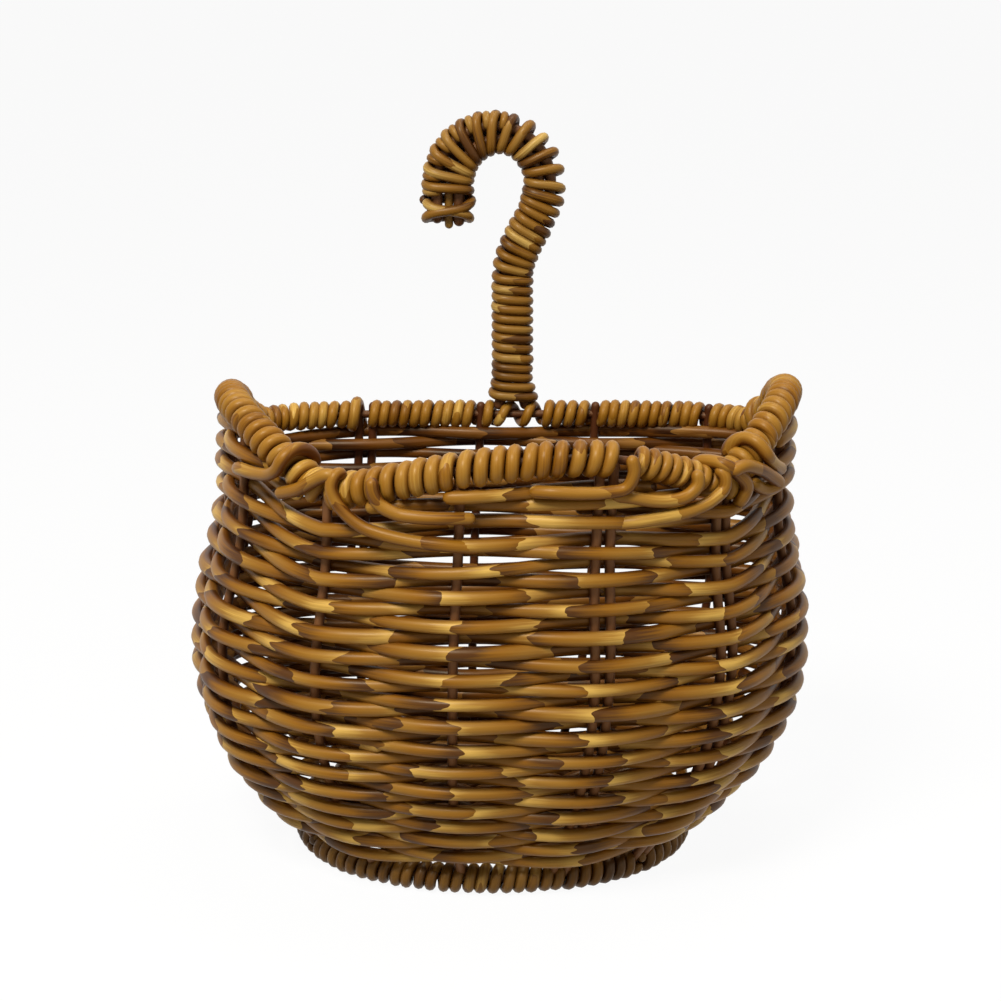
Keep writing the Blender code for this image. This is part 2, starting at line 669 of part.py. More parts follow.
def base_edge():
    """How far the base's weave keeps from the foot rod's line."""
    wound = loop_radius(FOOT_ROD_RADIUS, FOOT_WRAP_RADIUS) + FOOT_WRAP_RADIUS
    return wound + BASE_WEAVER_RADIUS + BASE_EDGE_GAP


def room_at(y):
    """Half the width of the base at y that keeps the edge distance to the foot rod's line."""
    plan_x, plan_y, _ = section_plan(foot_rod_height())
    halves = np.linspace(0, FOOT_HALF_WIDTH, SECTION_POINTS)
    apart = np.hypot(FOOT_SHIFT + halves[:, None] - plan_x[None, :], y - plan_y[None, :])
    clear = np.cumprod(apart.min(axis=1) > base_edge()).astype(bool)
    return halves[clear].max(initial=0.0)


def base_stick_places():
    """Where the base sticks lie across the base, evenly on both sides of the foot's middle."""
    reach = (FOOT_HALF_WIDTH - base_edge()) * BASE_SPREAD_SHARE
    return [FOOT_SHIFT + place for place in np.linspace(-reach, reach, BASE_STICKS)]


def base_weaver_points(xs):
    """The cane's points, to and fro, over one stick and under the next, on rows that reach past the sticks."""
    height = base_height()
    pitch = 2 * BASE_WEAVER_RADIUS + BASE_ROW_SLACK
    offset = BASE_STICK_RADIUS + END_SEAT + BASE_WEAVER_RADIUS
    least = xs[-1] - FOOT_SHIFT + BASE_STICK_RADIUS + 2 * BASE_WEAVER_RADIUS
    points = []
    for row in range(int((FOOT_DEPTH - 2 * base_edge()) / pitch)):
        y = -base_edge() - (row + 0.5) * pitch
        half = room_at(y)
        if half < least:
            break
        way = 1 if row % 2 == 0 else -1
        points.append((FOOT_SHIFT - way * half, y, height))
        for number, x in enumerate(xs[::way]):
            side = 1 if (number + row) % 2 else -1
            points.append((x, y, height + side * offset))
        points.append((FOOT_SHIFT + way * half, y, height))
    return points


def make_base():
    """Sticks from front to back on the foot ring, with one cane woven to and fro between them."""
    xs = base_stick_places()
    height = base_height()
    for number, x in enumerate(xs):
        front, back = base_limits(x)
        ends = [(x, front, height), (x, back, height)]
        sweep(f"base_stick_{number + 1}", ends, BASE_STICK_RADIUS, ROD_SIDES, STAKE_CANE)
    sweep("base_weaver", base_weaver_points(xs), BASE_WEAVER_RADIUS, WRAP_SIDES, FOOT_CANE)


def stand_on_origin():
    """Carry every piece on an empty that puts the middle of the whole box over the origin."""
    pieces = [piece for piece in bpy.context.scene.objects if piece.type == "MESH"]
    corners = np.concatenate([np.array([vertex.co for vertex in piece.data.vertices]) for piece in pieces])
    middle = (corners.min(axis=0) + corners.max(axis=0)) / 2
    print(f"box {corners.min(axis=0).round(4)} to {corners.max(axis=0).round(4)}")
    carrier = bpy.data.objects.new("basket_origin", None)
    bpy.context.scene.collection.objects.link(carrier)
    carrier.location = (-middle[0], -middle[1], 0)
    for piece in pieces:
        piece.parent = carrier


def main():
    """Build the basket from the foot up."""
    clear_scene()
    foot = Ring(lambda share: foot_rod_height())
    rim = Ring(rim_height)
    lines = [stake_points(number, foot, rim) for number in range(STAKES)]
    make_foot(foot)
    make_base()
    make_stakes(lines)
    make_weavers(lines, rim)
    make_rim(rim)
    make_hook(rim)
    stand_on_origin()


main()
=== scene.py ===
"""Looks of a rattan wall basket: canes, windings, stakes and base, the finishes and the studio.

Every cane is a tube carried along a path. The paths follow the same wall as the solids do:
a D-shaped plan that changes with height, with a rim that waves round its upper edge.
Lengths are in metres, +Z is up, +X is to the right of someone who faces the basket,
and the flat back is towards +Y.
"""

import logging
import math
from dataclasses import dataclass
from enum import Enum, IntEnum

import bpy
import numpy as np
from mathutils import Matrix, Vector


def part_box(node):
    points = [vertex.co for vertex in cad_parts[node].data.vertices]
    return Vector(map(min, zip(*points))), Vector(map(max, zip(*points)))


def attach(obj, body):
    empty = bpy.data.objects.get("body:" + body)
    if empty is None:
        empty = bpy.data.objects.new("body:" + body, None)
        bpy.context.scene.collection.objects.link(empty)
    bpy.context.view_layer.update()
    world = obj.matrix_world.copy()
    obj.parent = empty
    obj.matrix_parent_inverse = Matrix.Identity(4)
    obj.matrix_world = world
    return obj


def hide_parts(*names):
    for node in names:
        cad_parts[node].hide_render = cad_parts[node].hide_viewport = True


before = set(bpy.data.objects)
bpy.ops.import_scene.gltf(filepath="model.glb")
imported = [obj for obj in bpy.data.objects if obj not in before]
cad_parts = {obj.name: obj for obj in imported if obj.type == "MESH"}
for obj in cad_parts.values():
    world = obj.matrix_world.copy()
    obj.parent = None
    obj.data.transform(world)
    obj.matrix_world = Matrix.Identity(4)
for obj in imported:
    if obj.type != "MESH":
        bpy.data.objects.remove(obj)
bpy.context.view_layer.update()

Array = np.ndarray
Triple = tuple[float, float, float]
Socket = bpy.types.NodeSocket
LOG = logging.getLogger("basket")
SEED = 20
FULL = 2 * math.pi
STAKES = 13
UP = (0.0, 0.0, 1.0)


class Slot(Enum):
    """The record's material slots."""

    HONEY = "honey_cane"
    RIM = "rim_cane"
    HOOK = "hook_cane"
    FOOT = "foot_cane"
    STAKE = "brown_stake"


class Draw(IntEnum):
    """What each kind of piece adds to the seed of its random numbers; pieces of a kind count on by one."""

    WEAVE = 0
    STAKE = 40
    RIM_CORE = 60
    RIM_WINDING = 61
    FOOT_CORE = 80
    FOOT_WINDING = 81
    HOOK_ROD = 90
    HOOK_SHAFT = 95
    HOOK_CROOK = 96
    HOOK_TIP = 97
    BASE_STICK = 100
    BASE_WEAVE = 110


def unit(vectors: Array) -> Array:
    """Vectors divided by their own length, along the last axis."""
    return vectors / np.maximum(np.linalg.norm(vectors, axis=-1, keepdims=True), 1e-12)


def run_along(points: Array) -> Array:
    """Distances of points from the first of them, along the line through them all."""
    return np.concatenate([[0.0], np.cumsum(np.linalg.norm(np.diff(points, axis=0), axis=1))])


def rows_at(places: Array, known: Array, table: Array) -> Array:
    """Rows of a table at places between its known ones, each column read in straight steps."""
    return np.stack([np.interp(places, known, column) for column in table.T], axis=-1)


def hermite(position: Array, stations: Array | tuple, values: Array | tuple) -> Array:
    """A smooth curve through values at stations: cubic pieces whose slopes are the mean of both sides.

    Args:
        position: where to read the curve.
        stations: the places of the values.
        values: what the curve passes.

    Returns:
        The curve at each position.
    """
    at, value = np.asarray(stations, float), np.asarray(values, float)
    slope = np.gradient(value, at)
    place = np.clip(np.searchsorted(at, position, side="right") - 1, 0, len(at) - 2)
    span = at[place + 1] - at[place]
    part = np.clip((position - at[place]) / span, 0.0, 1.0)
    start = (1 + 2 * part) * (1 - part) ** 2 * value[place] + part * (1 - part) ** 2 * span * slope[place]
    end = part**2 * (3 - 2 * part) * value[place + 1] + part**2 * (part - 1) * span * slope[place + 1]
    return start + end


@dataclass(frozen=True)
class Stray:
    """How a cane strays from its even line: smooth seeded noise with a size and a length between turns."""

    size: float
    length: float

    def along(self, rng: np.random.Generator, run: Array) -> Array:
        """The noise at distances: random knots a length apart, joined by cosine steps.

        Args:
            rng: gives the knots.
            run: the distances, in the unit that the length is in.

        Returns:
            The noise, between the size to either side.
        """
        knots = rng.uniform(-1, 1, int((run.max() - run.min()) / self.length) + 3)
        place = (run - run.min()) / self.length
        low = np.floor(place).astype(int)
        ease = 0.5 - 0.5 * np.cos(math.pi * (place - low))
        return (knots[low] * (1 - ease) + knots[low + 1] * ease) * self.size


@dataclass(frozen=True)
class Grain:
    """A noise that follows the cane: its scales along and around it, its detail and its roughness."""

    along: float
    around: float
    detail: float
    roughness: float


EDGE_GRAIN = Grain(70.0, 0.8, 0.6, 0.5)
STREAK_GRAIN = Grain(22.0, 3.2, 4.0, 0.6)
PAINTED_SHADE_TINT = (0.24, 0.085, 0.018, 1)
# The colour of the painted shade: what a cane's colour is multiplied by, at full shade, in the gaps between
# others and along its flanks.
"""What a cane's colour is multiplied by where it lies deep between others."""
MIX_BELOW, MIX_OVER, MIX_RESULT = 6, 7, 2
"""The colour sockets of a Mix node: its two inputs and its output."""


class NodeWork:
    """Short ways to add nodes to a tree and to join them."""

    def __init__(self, tree: bpy.types.NodeTree) -> None:
        """Keep the tree."""
        self.tree = tree

    def new(self, kind: str, **settings: object) -> bpy.types.Node:
        """Add a node.

        Args:
            kind: the node's type.
            settings: its properties, by name.

        Returns:
            The node.
        """
        node = self.tree.nodes.new(kind)
        for key, value in settings.items():
            setattr(node, key, value)
        return node

    def join(self, start: Socket, end: Socket) -> None:
        """Join two sockets."""
        self.tree.links.new(start, end)

    def maths(self, kind: str, *terms: Socket | float) -> Socket:
        """Add a Math node.

        Args:
            kind: its operation.
            terms: what it works on, sockets or numbers.

        Returns:
            Its result.
        """
        node = self.new("ShaderNodeMath", operation=kind)
        for socket, term in zip(node.inputs, terms):
            if isinstance(term, (int, float)):
                socket.default_value = term
            else:
                self.join(term, socket)
        return node.outputs[0]

    def spread(self, value: Socket, width: float) -> Socket:
        """A value of 0 to 1 made into one of half the width to either side of nought."""
        return self.maths("MULTIPLY", self.maths("SUBTRACT", value, 0.5), width)

    def noise(self, place: tuple[Socket, Socket, Socket], grain: Grain) -> Socket:
        """Add a noise that follows the cane.

        Args:
            place: distance along the cane, and the cosine and the sine of the turn round it.
            grain: the noise's look.

        Returns:
            The noise, 0 to 1.
        """
        point = self.new("ShaderNodeCombineXYZ")
        for socket, part, scale in zip(point.inputs, place, (grain.along, grain.around, grain.around)):
            self.join(self.maths("MULTIPLY", part, scale), socket)
        noise = self.new("ShaderNodeTexNoise")
        noise.inputs["Scale"].default_value = 1.0
        noise.inputs["Detail"].default_value = grain.detail
        noise.inputs["Roughness"].default_value = grain.roughness
        self.join(point.outputs[0], noise.inputs["Vector"])
        return noise.outputs[0]

    def seen(self) -> Socket:
        """Tell the rays from the camera, and those that gloss or glass sends on, from the rest.

        Returns:
            One for those rays, and nought for the rest.
        """
        rays = self.new("ShaderNodeLightPath").outputs
        shining = self.maths("MAXIMUM", rays["Is Camera Ray"], rays["Is Glossy Ray"])
        return self.maths("MAXIMUM", shining, rays["Is Transmission Ray"])


@dataclass(frozen=True)
class CaneFinish:
    """A rattan skin whose tone jumps at each node of the cane and drifts between nodes.

    The tone is a random value of each one-dimensional cell along the cane, plus the place in the cell,
    plus fine streaks that run along the cane. A colour ramp turns the tone into dark, honey or straw.
    The cells' edges are slanted, and a little uneven.
    """

    name: str
    slot: Slot
    dark: Triple
    honey: Triple
    straw: Triple
    middle: float = 0.5
    contrast: float = 0.55
    drift: float = 0.35
    node_length: float = 0.040
    slant: float = 0.006
    ragged: float = 0.008
    streak_depth: float = 0.30
    honey_stop: float = 0.30
    pale_stop: float = 0.72
    pale_share: float = 0.22
    gloss_low: float = 0.36
    gloss_high: float = 0.56
    coat: float = 0.06
    coat_roughness: float = 0.22
    shine: float = 0.30
    shine_tint: Triple = (1.0, 0.82, 0.52)
    bump: float = 0.25
    bump_depth: float = 0.0004
    # How strong the painted shade is, 0 to 1.
    painted_shade: float = 0.92

    def material(self) -> bpy.types.Material:
        """The node material of this finish, made once.

        Returns:
            The material.
        """
        made = bpy.data.materials.get(self.name)
        if made:
            return made
        made = bpy.data.materials.new(self.name)
        made.use_nodes = True
        nodes = NodeWork(made.node_tree)
        shader = made.node_tree.nodes["Principled BSDF"]
        shader.inputs["Coat Weight"].default_value = self.coat
        shader.inputs["Coat Roughness"].default_value = self.coat_roughness
        shader.inputs["Specular IOR Level"].default_value = self.shine
        shader.inputs["Specular Tint"].default_value = (*self.shine_tint, 1)
        skin = nodes.new("ShaderNodeSeparateXYZ")
        nodes.join(nodes.new("ShaderNodeUVMap", uv_map="Cane").outputs[0], skin.inputs[0])
        turn = nodes.maths("MULTIPLY", skin.outputs[1], FULL)
        place = skin.outputs[0], nodes.maths("COSINE", turn), nodes.maths("SINE", turn)
        streaks = nodes.noise(place, STREAK_GRAIN)
        tone = nodes.maths("ADD", self.cell_tone(nodes, place), nodes.spread(streaks, self.streak_depth * 2))
        nodes.join(self.colour(nodes, tone), shader.inputs["Base Color"])
        rough = nodes.new("ShaderNodeMapRange")
        rough.inputs["To Min"].default_value = self.gloss_low
        rough.inputs["To Max"].default_value = self.gloss_high
        nodes.join(streaks, rough.inputs[0])
        nodes.join(rough.outputs[0], shader.inputs["Roughness"])
        bump = nodes.new("ShaderNodeBump")
        bump.inputs["Strength"].default_value = self.bump
        bump.inputs["Distance"].default_value = self.bump_depth
        nodes.join(streaks, bump.inputs["Height"])
        nodes.join(bump.outputs[0], shader.inputs["Normal"])
        return made

    def cell_tone(self, nodes: NodeWork, place: tuple[Socket, Socket, Socket]) -> Socket:
        """The tone of the stretch between two nodes of the cane, and its drift from one node to the next.

        Args:
            nodes: where the nodes go.
            place: distance along the cane, and the cosine and the sine of the turn round it.

        Returns:
            The tone, without its streaks.
        """
        uneven = nodes.spread(nodes.noise(place, EDGE_GRAIN), self.ragged * 2)
        slanted = nodes.maths("MULTIPLY", place[1], self.slant)
        along = nodes.maths("ADD", nodes.maths("ADD", place[0], uneven), slanted)
        cells = nodes.new("ShaderNodeTexVoronoi", voronoi_dimensions="1D")
        cells.inputs["Scale"].default_value = 1 / self.node_length
        nodes.join(along, cells.inputs["W"])
        value = nodes.new("ShaderNodeSeparateColor")
        nodes.join(cells.outputs["Color"], value.inputs[0])
        inside = nodes.maths("SUBTRACT", along, cells.outputs["W"])
        drifted = nodes.maths("MULTIPLY", inside, self.drift / self.node_length)
        cell = nodes.maths("ADD", nodes.spread(value.outputs[0], self.contrast * 2), self.middle)
        return nodes.maths("ADD", cell, drifted)

    def colour(self, nodes: NodeWork, tone: Socket) -> Socket:
        """The colour of a tone, darkened with painted shade where the cane lies in the gaps between others
        and along its flanks.

        Args:
            nodes: where the nodes go.
            tone: 0 for dark to 1 for straw.

        Returns:
            The colour.
        """
        ramp = nodes.new("ShaderNodeValToRGB")
        stops = ramp.color_ramp.elements
        stops[0].position, stops[0].color = 0.0, (*self.dark, 1)
        stops[1].position, stops[1].color = 1.0, (*self.straw, 1)
        stops.new(self.honey_stop).color = (*self.honey, 1)
        honey_share = 1 - self.pale_share
        pale = (honey_share * a + self.pale_share * b for a, b in zip(self.honey, self.straw))
        stops.new(self.pale_stop).color = (*pale, 1)
        nodes.join(tone, ramp.inputs[0])
        # Painted shade: the colour is multiplied towards a dark brown by the mesh's painted shade amounts.
        painted_shade = nodes.new("ShaderNodeMix", data_type="RGBA", blend_type="MULTIPLY")
        shade_mask = nodes.new("ShaderNodeAttribute", attribute_name="PaintedShade")
        nodes.join(nodes.maths("MULTIPLY", shade_mask.outputs["Fac"], self.painted_shade), painted_shade.inputs[0])
        nodes.join(ramp.outputs[0], painted_shade.inputs[MIX_BELOW])
        painted_shade.inputs[MIX_OVER].default_value = PAINTED_SHADE_TINT
        return painted_shade.outputs[MIX_RESULT]


WEAVE_SKIN = CaneFinish(
    "weave_skin", Slot.HONEY, (0.085, 0.026, 0.002), (0.29, 0.114, 0.006), (0.72, 0.43, 0.09),
    middle=0.46, contrast=0.28, drift=0.9,
)
RIM_SKIN = CaneFinish(
    "rim_skin", Slot.RIM, (0.11, 0.031, 0.002), (0.30, 0.121, 0.007), (0.64, 0.37, 0.072),
    middle=0.50, contrast=0.30, drift=0.5, streak_depth=0.4,
)
HOOK_SKIN = CaneFinish(
    "hook_skin", Slot.HOOK, (0.075, 0.023, 0.002), (0.23, 0.094, 0.007), (0.58, 0.36, 0.09),
    middle=0.44, contrast=0.48, drift=0.6, streak_depth=0.45,
)
# Darker than the weave's skin; part of that is painted shade, for the shade low by the floor and under the
# basket.
SHADED_FOOT_SKIN = CaneFinish(
    "shaded_foot_skin", Slot.FOOT, (0.05, 0.016, 0.002), (0.15, 0.060, 0.006), (0.40, 0.22, 0.045),
    middle=0.42, contrast=0.36, drift=0.5,
)
STAKE_SKIN = CaneFinish(
    "stake_skin", Slot.STAKE, (0.11, 0.038, 0.012), (0.21, 0.085, 0.030), (0.30, 0.14, 0.05),
    contrast=0.2, gloss_low=0.4, coat=0.03,
)

SIDES = 10
FINE_SIDES = 12
"""Faces round a tube, and round one that shows more."""
FLANK_SHADE_POWER = 1.7
# How fast the painted shade on a tube's flank grows, away from its outermost line.
"""How fast a tube's flank gets deeper, away from its outermost line."""
SKIN_STOCK = 40.0
"""Length of the skin that each tube's own stretch is taken from."""
END_STEPS = np.array([0.0, 0.04, 0.15, 0.35, 0.65, 1.0])
"""Where the rings of a rounded end are, in radii from its tip."""
END_MARGIN = 0.2
TIP_SHARE = 0.04
"""The part of its radius that a rounded end keeps at its very tip."""


class TubeSet:
    """Tubes gathered as whole arrays, and made into one mesh.

    A tube's point is path(i) + radius(i) * (cos(a_j) * way(i) + sin(a_j) * (along(i) x way(i))).
    """

    def __init__(self, number: int) -> None:
        """Start with no tubes.

        Args:
            number: what is added to the seed, so that each set has random numbers of its own.
        """
        self.rng = np.random.default_rng(SEED + number)
        self.points: list[Array] = []
        self.faces: list[list[int]] = []
        self.uvs: list[Array] = []
        self.shade_amounts: list[Array] = []
        self.count = 0

    def add(
        self,
        path: Array,
        ways: Array | Triple,
        radius: float | Array,
        sides: int = SIDES,
        closed: bool = False,
        shade_amount: float | Array = 0.0,
        crease_shade: float = 0.9,
    ) -> None:
        """Add one tube with rounded ends, or one closed ring, with its own stretch of skin.

        Args:
            path: the middle line's points, one a row.
            ways: a direction across the tube, the same all along or one a point.
            radius: the radius, the same all along or one a point.
            sides: faces round the tube.
            closed: whether the last point joins the first.
            shade_amount: how much painted shade the cane gets for lying back between its neighbours, 0 to 1,
                the same all along or one a point.
            crease_shade: how much painted shade its flanks and inner side get, where it touches its
                neighbours, 0 to 1.
        """
        ways = np.broadcast_to(np.asarray(ways, float), path.shape)
        radius = np.broadcast_to(np.asarray(radius, float), len(path))
        shade_amount = np.broadcast_to(np.asarray(shade_amount, float), len(path))
        if closed:
            along = unit(np.roll(path, -1, axis=0) - np.roll(path, 1, axis=0))
        else:
            path, ways, radius, shade_amount = self.round_ends(path, ways, radius, shade_amount)
            along = unit(np.gradient(path, axis=0))
        count = len(path)
        first = unit(ways - np.sum(ways * along, axis=1, keepdims=True) * along)
        second = np.cross(along, first)
        angle = np.arange(sides) * FULL / sides
        # Painted shade on the flanks and the inner side, growing away from the outermost line.
        flank = crease_shade * (1 - np.maximum(np.cos(angle), 0.0)) ** FLANK_SHADE_POWER
        self.shade_amounts.append(np.maximum(shade_amount[:, None], flank[None, :]).ravel())
        cos, sin = np.cos(angle)[None, :, None], np.sin(angle)[None, :, None]
        spokes = cos * first[:, None] + sin * second[:, None]
        self.points.append((path[:, None] + radius[:, None, None] * spokes).reshape(-1, 3))
        direction, start = self.rng.choice([-1, 1]), self.rng.uniform(0, SKIN_STOCK)
        run = direction * run_along(np.vstack([path, path[:1]])) + start
        rows = np.arange(count if closed else count - 1)
        here, side = np.meshgrid(rows, np.arange(sides), indexing="ij")
        there, beside = (here + 1) % count, (side + 1) % sides
        corners = (here, side), (here, beside), (there, beside), (there, side)
        quads = np.stack([ring * sides + spoke for ring, spoke in corners], axis=-1)
        self.faces += (quads.reshape(-1, 4) + self.count).tolist()
        u = np.stack([run[here], run[here], run[here + 1], run[here + 1]], axis=-1)
        v = np.stack([side, side + 1, side + 1, side], axis=-1) / sides
        self.uvs.append(np.stack([u, v], axis=-1).reshape(-1, 2))
        if not closed:
            ring = np.arange(sides)
            self.faces.append((ring[::-1] + self.count).tolist())
            self.faces.append((ring + (count - 1) * sides + self.count).tolist())
            self.uvs.append(np.repeat([[run[0], 0.5], [run[count - 1], 0.5]], sides, axis=0))
        self.count += count * sides

    @staticmethod
    def round_ends(path: Array, ways: Array, radius: Array, shade_amount: Array) -> tuple[Array, ...]:
        """Draw both ends in as half rounds.

        A radius at a distance d from the end is r * sqrt(1 - (1 - d / r) ** 2).

        Args:
            path: the middle line's points.
            ways: the directions across the tube.
            radius: the radii.
            shade_amount: the amounts of painted shade.

        Returns:
            The same four, with more points near the ends.
        """
        run = run_along(path)
        near = radius[0] * END_STEPS
        far = run[-1] - radius[-1] * END_STEPS[::-1]
        clear = (run > near[-1] * (1 + END_MARGIN)) & (run < far[0] - radius[-1] * END_MARGIN)
        places = np.concatenate([near, run[clear], far])
        inner = 1 - np.clip(np.minimum(places, run[-1] - places) / radius.mean(), 0, 1)
        draw = np.sqrt(np.maximum(1 - inner**2, TIP_SHARE**2))
        drawn = np.interp(places, run, radius) * draw
        return rows_at(places, run, path), rows_at(places, run, ways), drawn, np.interp(places, run, shade_amount)

    def make(self, name: str, finish: CaneFinish, node: str) -> None:
        """Make one smooth mesh of all the tubes, dressed and riding on the basket.

        Args:
            name: the piece's name.
            finish: its finish.
            node: the solid that it stands for.
        """
        mesh = bpy.data.meshes.new(name)
        mesh.from_pydata(np.vstack(self.points).tolist(), [], self.faces)
        layer = mesh.uv_layers.new(name="Cane")
        layer.data.foreach_set("uv", np.vstack(self.uvs).astype(np.float32).ravel())
        # The painted shade of each point, which the finishes read.
        depth = mesh.attributes.new("PaintedShade", "FLOAT", "POINT")
        depth.data.foreach_set("value", np.concatenate(self.shade_amounts).astype(np.float32))
        mesh.shade_smooth()
        mesh.materials.append(finish.material())
        piece = bpy.data.objects.new(name, mesh)
        bpy.context.scene.collection.objects.link(piece)
        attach(piece, "root")
        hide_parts(node)
        LOG.info("%s: %d faces, stands for %s", name, len(self.faces), node)


@dataclass
class Wall:
    """The wall's middle surface: a D-shaped plan that changes with height.

    The plan is a superellipse, flatter behind its widest line than in front of it. A share of the way
    round is measured along the plan from the middle of the back, to the right, the front and the left.
    """

    origin: tuple[float, float] = (0.0025, 0.0957)
    foot_height: float = 0.00754
    height: float = 0.235
    level_shares: tuple[float, ...] = (0.0, 0.25, 0.5, 0.75, 1.0)
    half_widths: tuple[float, ...] = (0.096, 0.1395, 0.149, 0.1375, 0.1355)
    depths: tuple[float, ...] = (0.137, 0.168, 0.186, 0.188, 0.192)
    widest_lines: tuple[float, ...] = (0.060, 0.068, 0.073, 0.074, 0.073)
    foot_shift: float = -0.006
    lip_shift: float = 0.0015
    front_power: float = 2.2
    back_power: float = 5.0
    top_share: float = 1.06
    levels: int = 220
    columns: int = 1441
    way_step: float = 0.006

    def __post_init__(self) -> None:
        """Work out the surface once, on a grid of heights and even shares of the way round."""
        share = np.linspace(0, self.top_share, self.levels)[:, None]
        half = hermite(share, self.level_shares, self.half_widths)
        depth = hermite(share, self.level_shares, self.depths)
        widest = hermite(share, self.level_shares, self.widest_lines)
        turn = np.linspace(math.pi / 2, -1.5 * math.pi, self.columns)[None, :]
        across, along = np.cos(turn), np.sin(turn)
        power = np.where(along >= 0, self.back_power, self.front_power)
        reach = np.where(along >= 0, widest, depth - widest)
        shift = self.foot_shift + share * (self.lip_shift - self.foot_shift)
        x = shift + half * np.sign(across) * np.abs(across) ** (2 / power)
        y = -widest + reach * np.sign(along) * np.abs(along) ** (2 / power)
        steps = np.hypot(np.diff(x, axis=1, prepend=x[:, :1]), np.diff(y, axis=1, prepend=y[:, :1]))
        run = np.cumsum(steps, axis=1)
        row = 2.0 * np.arange(self.levels)[:, None]
        known = (run / run[:, -1:] + row).ravel()
        asked = (np.linspace(0, 1, self.columns)[None, :] + row).ravel()
        shape = (self.levels, self.columns)
        self.x = np.interp(asked, known, x.ravel()).reshape(shape) + self.origin[0]
        self.y = np.interp(asked, known, y.ravel()).reshape(shape) + self.origin[1]
        self.heights = self.foot_height + share[:, 0] * self.height
        rise = np.diff(self.heights, prepend=self.heights[0])
        self.climbed = np.cumsum(np.hypot(rise, np.diff(half[:, 0], prepend=half[0, 0])))

    def at(self, height: Array | float, share: Array | float) -> Array:
        """Points of the wall, read between the grid's points along both ways.

        Args:
            height: their heights.
            share: their shares of the way round.

        Returns:
            The points, one for each height with its share.
        """
        height, share = np.broadcast_arrays(np.asarray(height, float), np.asarray(share, float))
        level = (height - self.heights[0]) / (self.heights[-1] - self.heights[0]) * (self.levels - 1)
        level = np.clip(level, 0, self.levels - 1.001)
        column = (share % 1.0) * (self.columns - 1)
        low, left = np.floor(level).astype(int), np.floor(column).astype(int)
        up, aside = level - low, column - left

        def read(table: Array) -> Array:
            """The table between its four nearest values."""
            rows = [table[row, left] * (1 - aside) + table[row, left + 1] * aside for row in (low, low + 1)]
            return rows[0] * (1 - up) + rows[1] * up

        return np.stack([read(self.x), read(self.y), height], axis=-1)

    def outward(self, height: Array | float, share: Array | float) -> Array:
        """Level directions out of the wall: the way round, turned a quarter to its left.

        Args:
            height: the places' heights.
            share: their shares of the way round.

        Returns:
            The directions, one for each height with its share.
        """
        share = np.asarray(share)
        way = self.at(height, share + self.way_step) - self.at(height, share - self.way_step)
        return unit(np.stack([-way[..., 1], way[..., 0], np.zeros_like(way[..., 0])], axis=-1))

    def climb(self, first: float, last: float, part: Array) -> Array:
        """Heights at even parts of the wall's slope, from the first height to the last."""
        start, stop = np.interp([first, last], self.heights, self.climbed)
        return np.interp(start + part * (stop - start), self.climbed, self.heights)


STAKE_SHARES = (
    0.060, 0.137, 0.213, 0.289, 0.364, 0.443, 0.527, 0.608, 0.686, 0.756, 0.829, 0.906, 0.983, 1.060,
)
"""Where the stakes stand, as shares of the way round, and the first one again."""


def stake_share(number: Array | float) -> Array | float:
    """Share of the way round at which a stake stands, or the part of the way between two stakes."""
    turn, rest = np.divmod(np.asarray(number, float), STAKES)
    return turn + np.interp(rest, np.arange(STAKES + 1), STAKE_SHARES)


def stake_number(share: Array) -> Array:
    """Stakes passed at a share of the way round, the other way about."""
    return np.interp(share, STAKE_SHARES, np.arange(STAKES + 1))


@dataclass
class Track:
    """A line through points, with one way up, that canes run along or are wound round."""

    points: Array
    up: Triple
    closed: bool = False

    def __post_init__(self) -> None:
        """Measure the line, and find the ways up and aside, square to it, at each point."""
        points = np.vstack([self.points, self.points[:1]]) if self.closed else self.points
        self.run = run_along(points)
        self.length = float(self.run[-1])
        along = unit(np.gradient(points, axis=0))
        up = np.array(self.up)
        ups = unit(up - (along @ up)[:, None] * along)
        self.table = np.concatenate([points, ups, np.cross(ups, along)], axis=1)

    def read(self, run: Array) -> tuple[Array, Array, Array]:
        """Read the line at distances along it.

        Args:
            run: the distances.

        Returns:
            Its points, ways up and ways aside.
        """
        rows = rows_at(run % self.length if self.closed else run, self.run, self.table)
        return rows[..., :3], unit(rows[..., 3:6]), unit(rows[..., 6:])

    def wound(self, runs: Array, turns: Array, reach: Array) -> tuple[Array, Array]:
        """Points round the line, at a reach from it.

        The point at a turn a is line(run) + reach * (cos a * way aside + sin a * way up).

        Args:
            runs: distances along the line.
            turns: turns round it, one a distance.
            reach: how far off the line the points are.

        Returns:
            The points, and their ways out of the line.
        """
        point, ups, asides = self.read(runs)
        cos, sin = np.cos(FULL * turns)[:, None], np.sin(FULL * turns)[:, None]
        reach = reach[:, None]
        return point + reach * cos * asides + reach * sin * ups, unit(cos * asides + sin * ups)


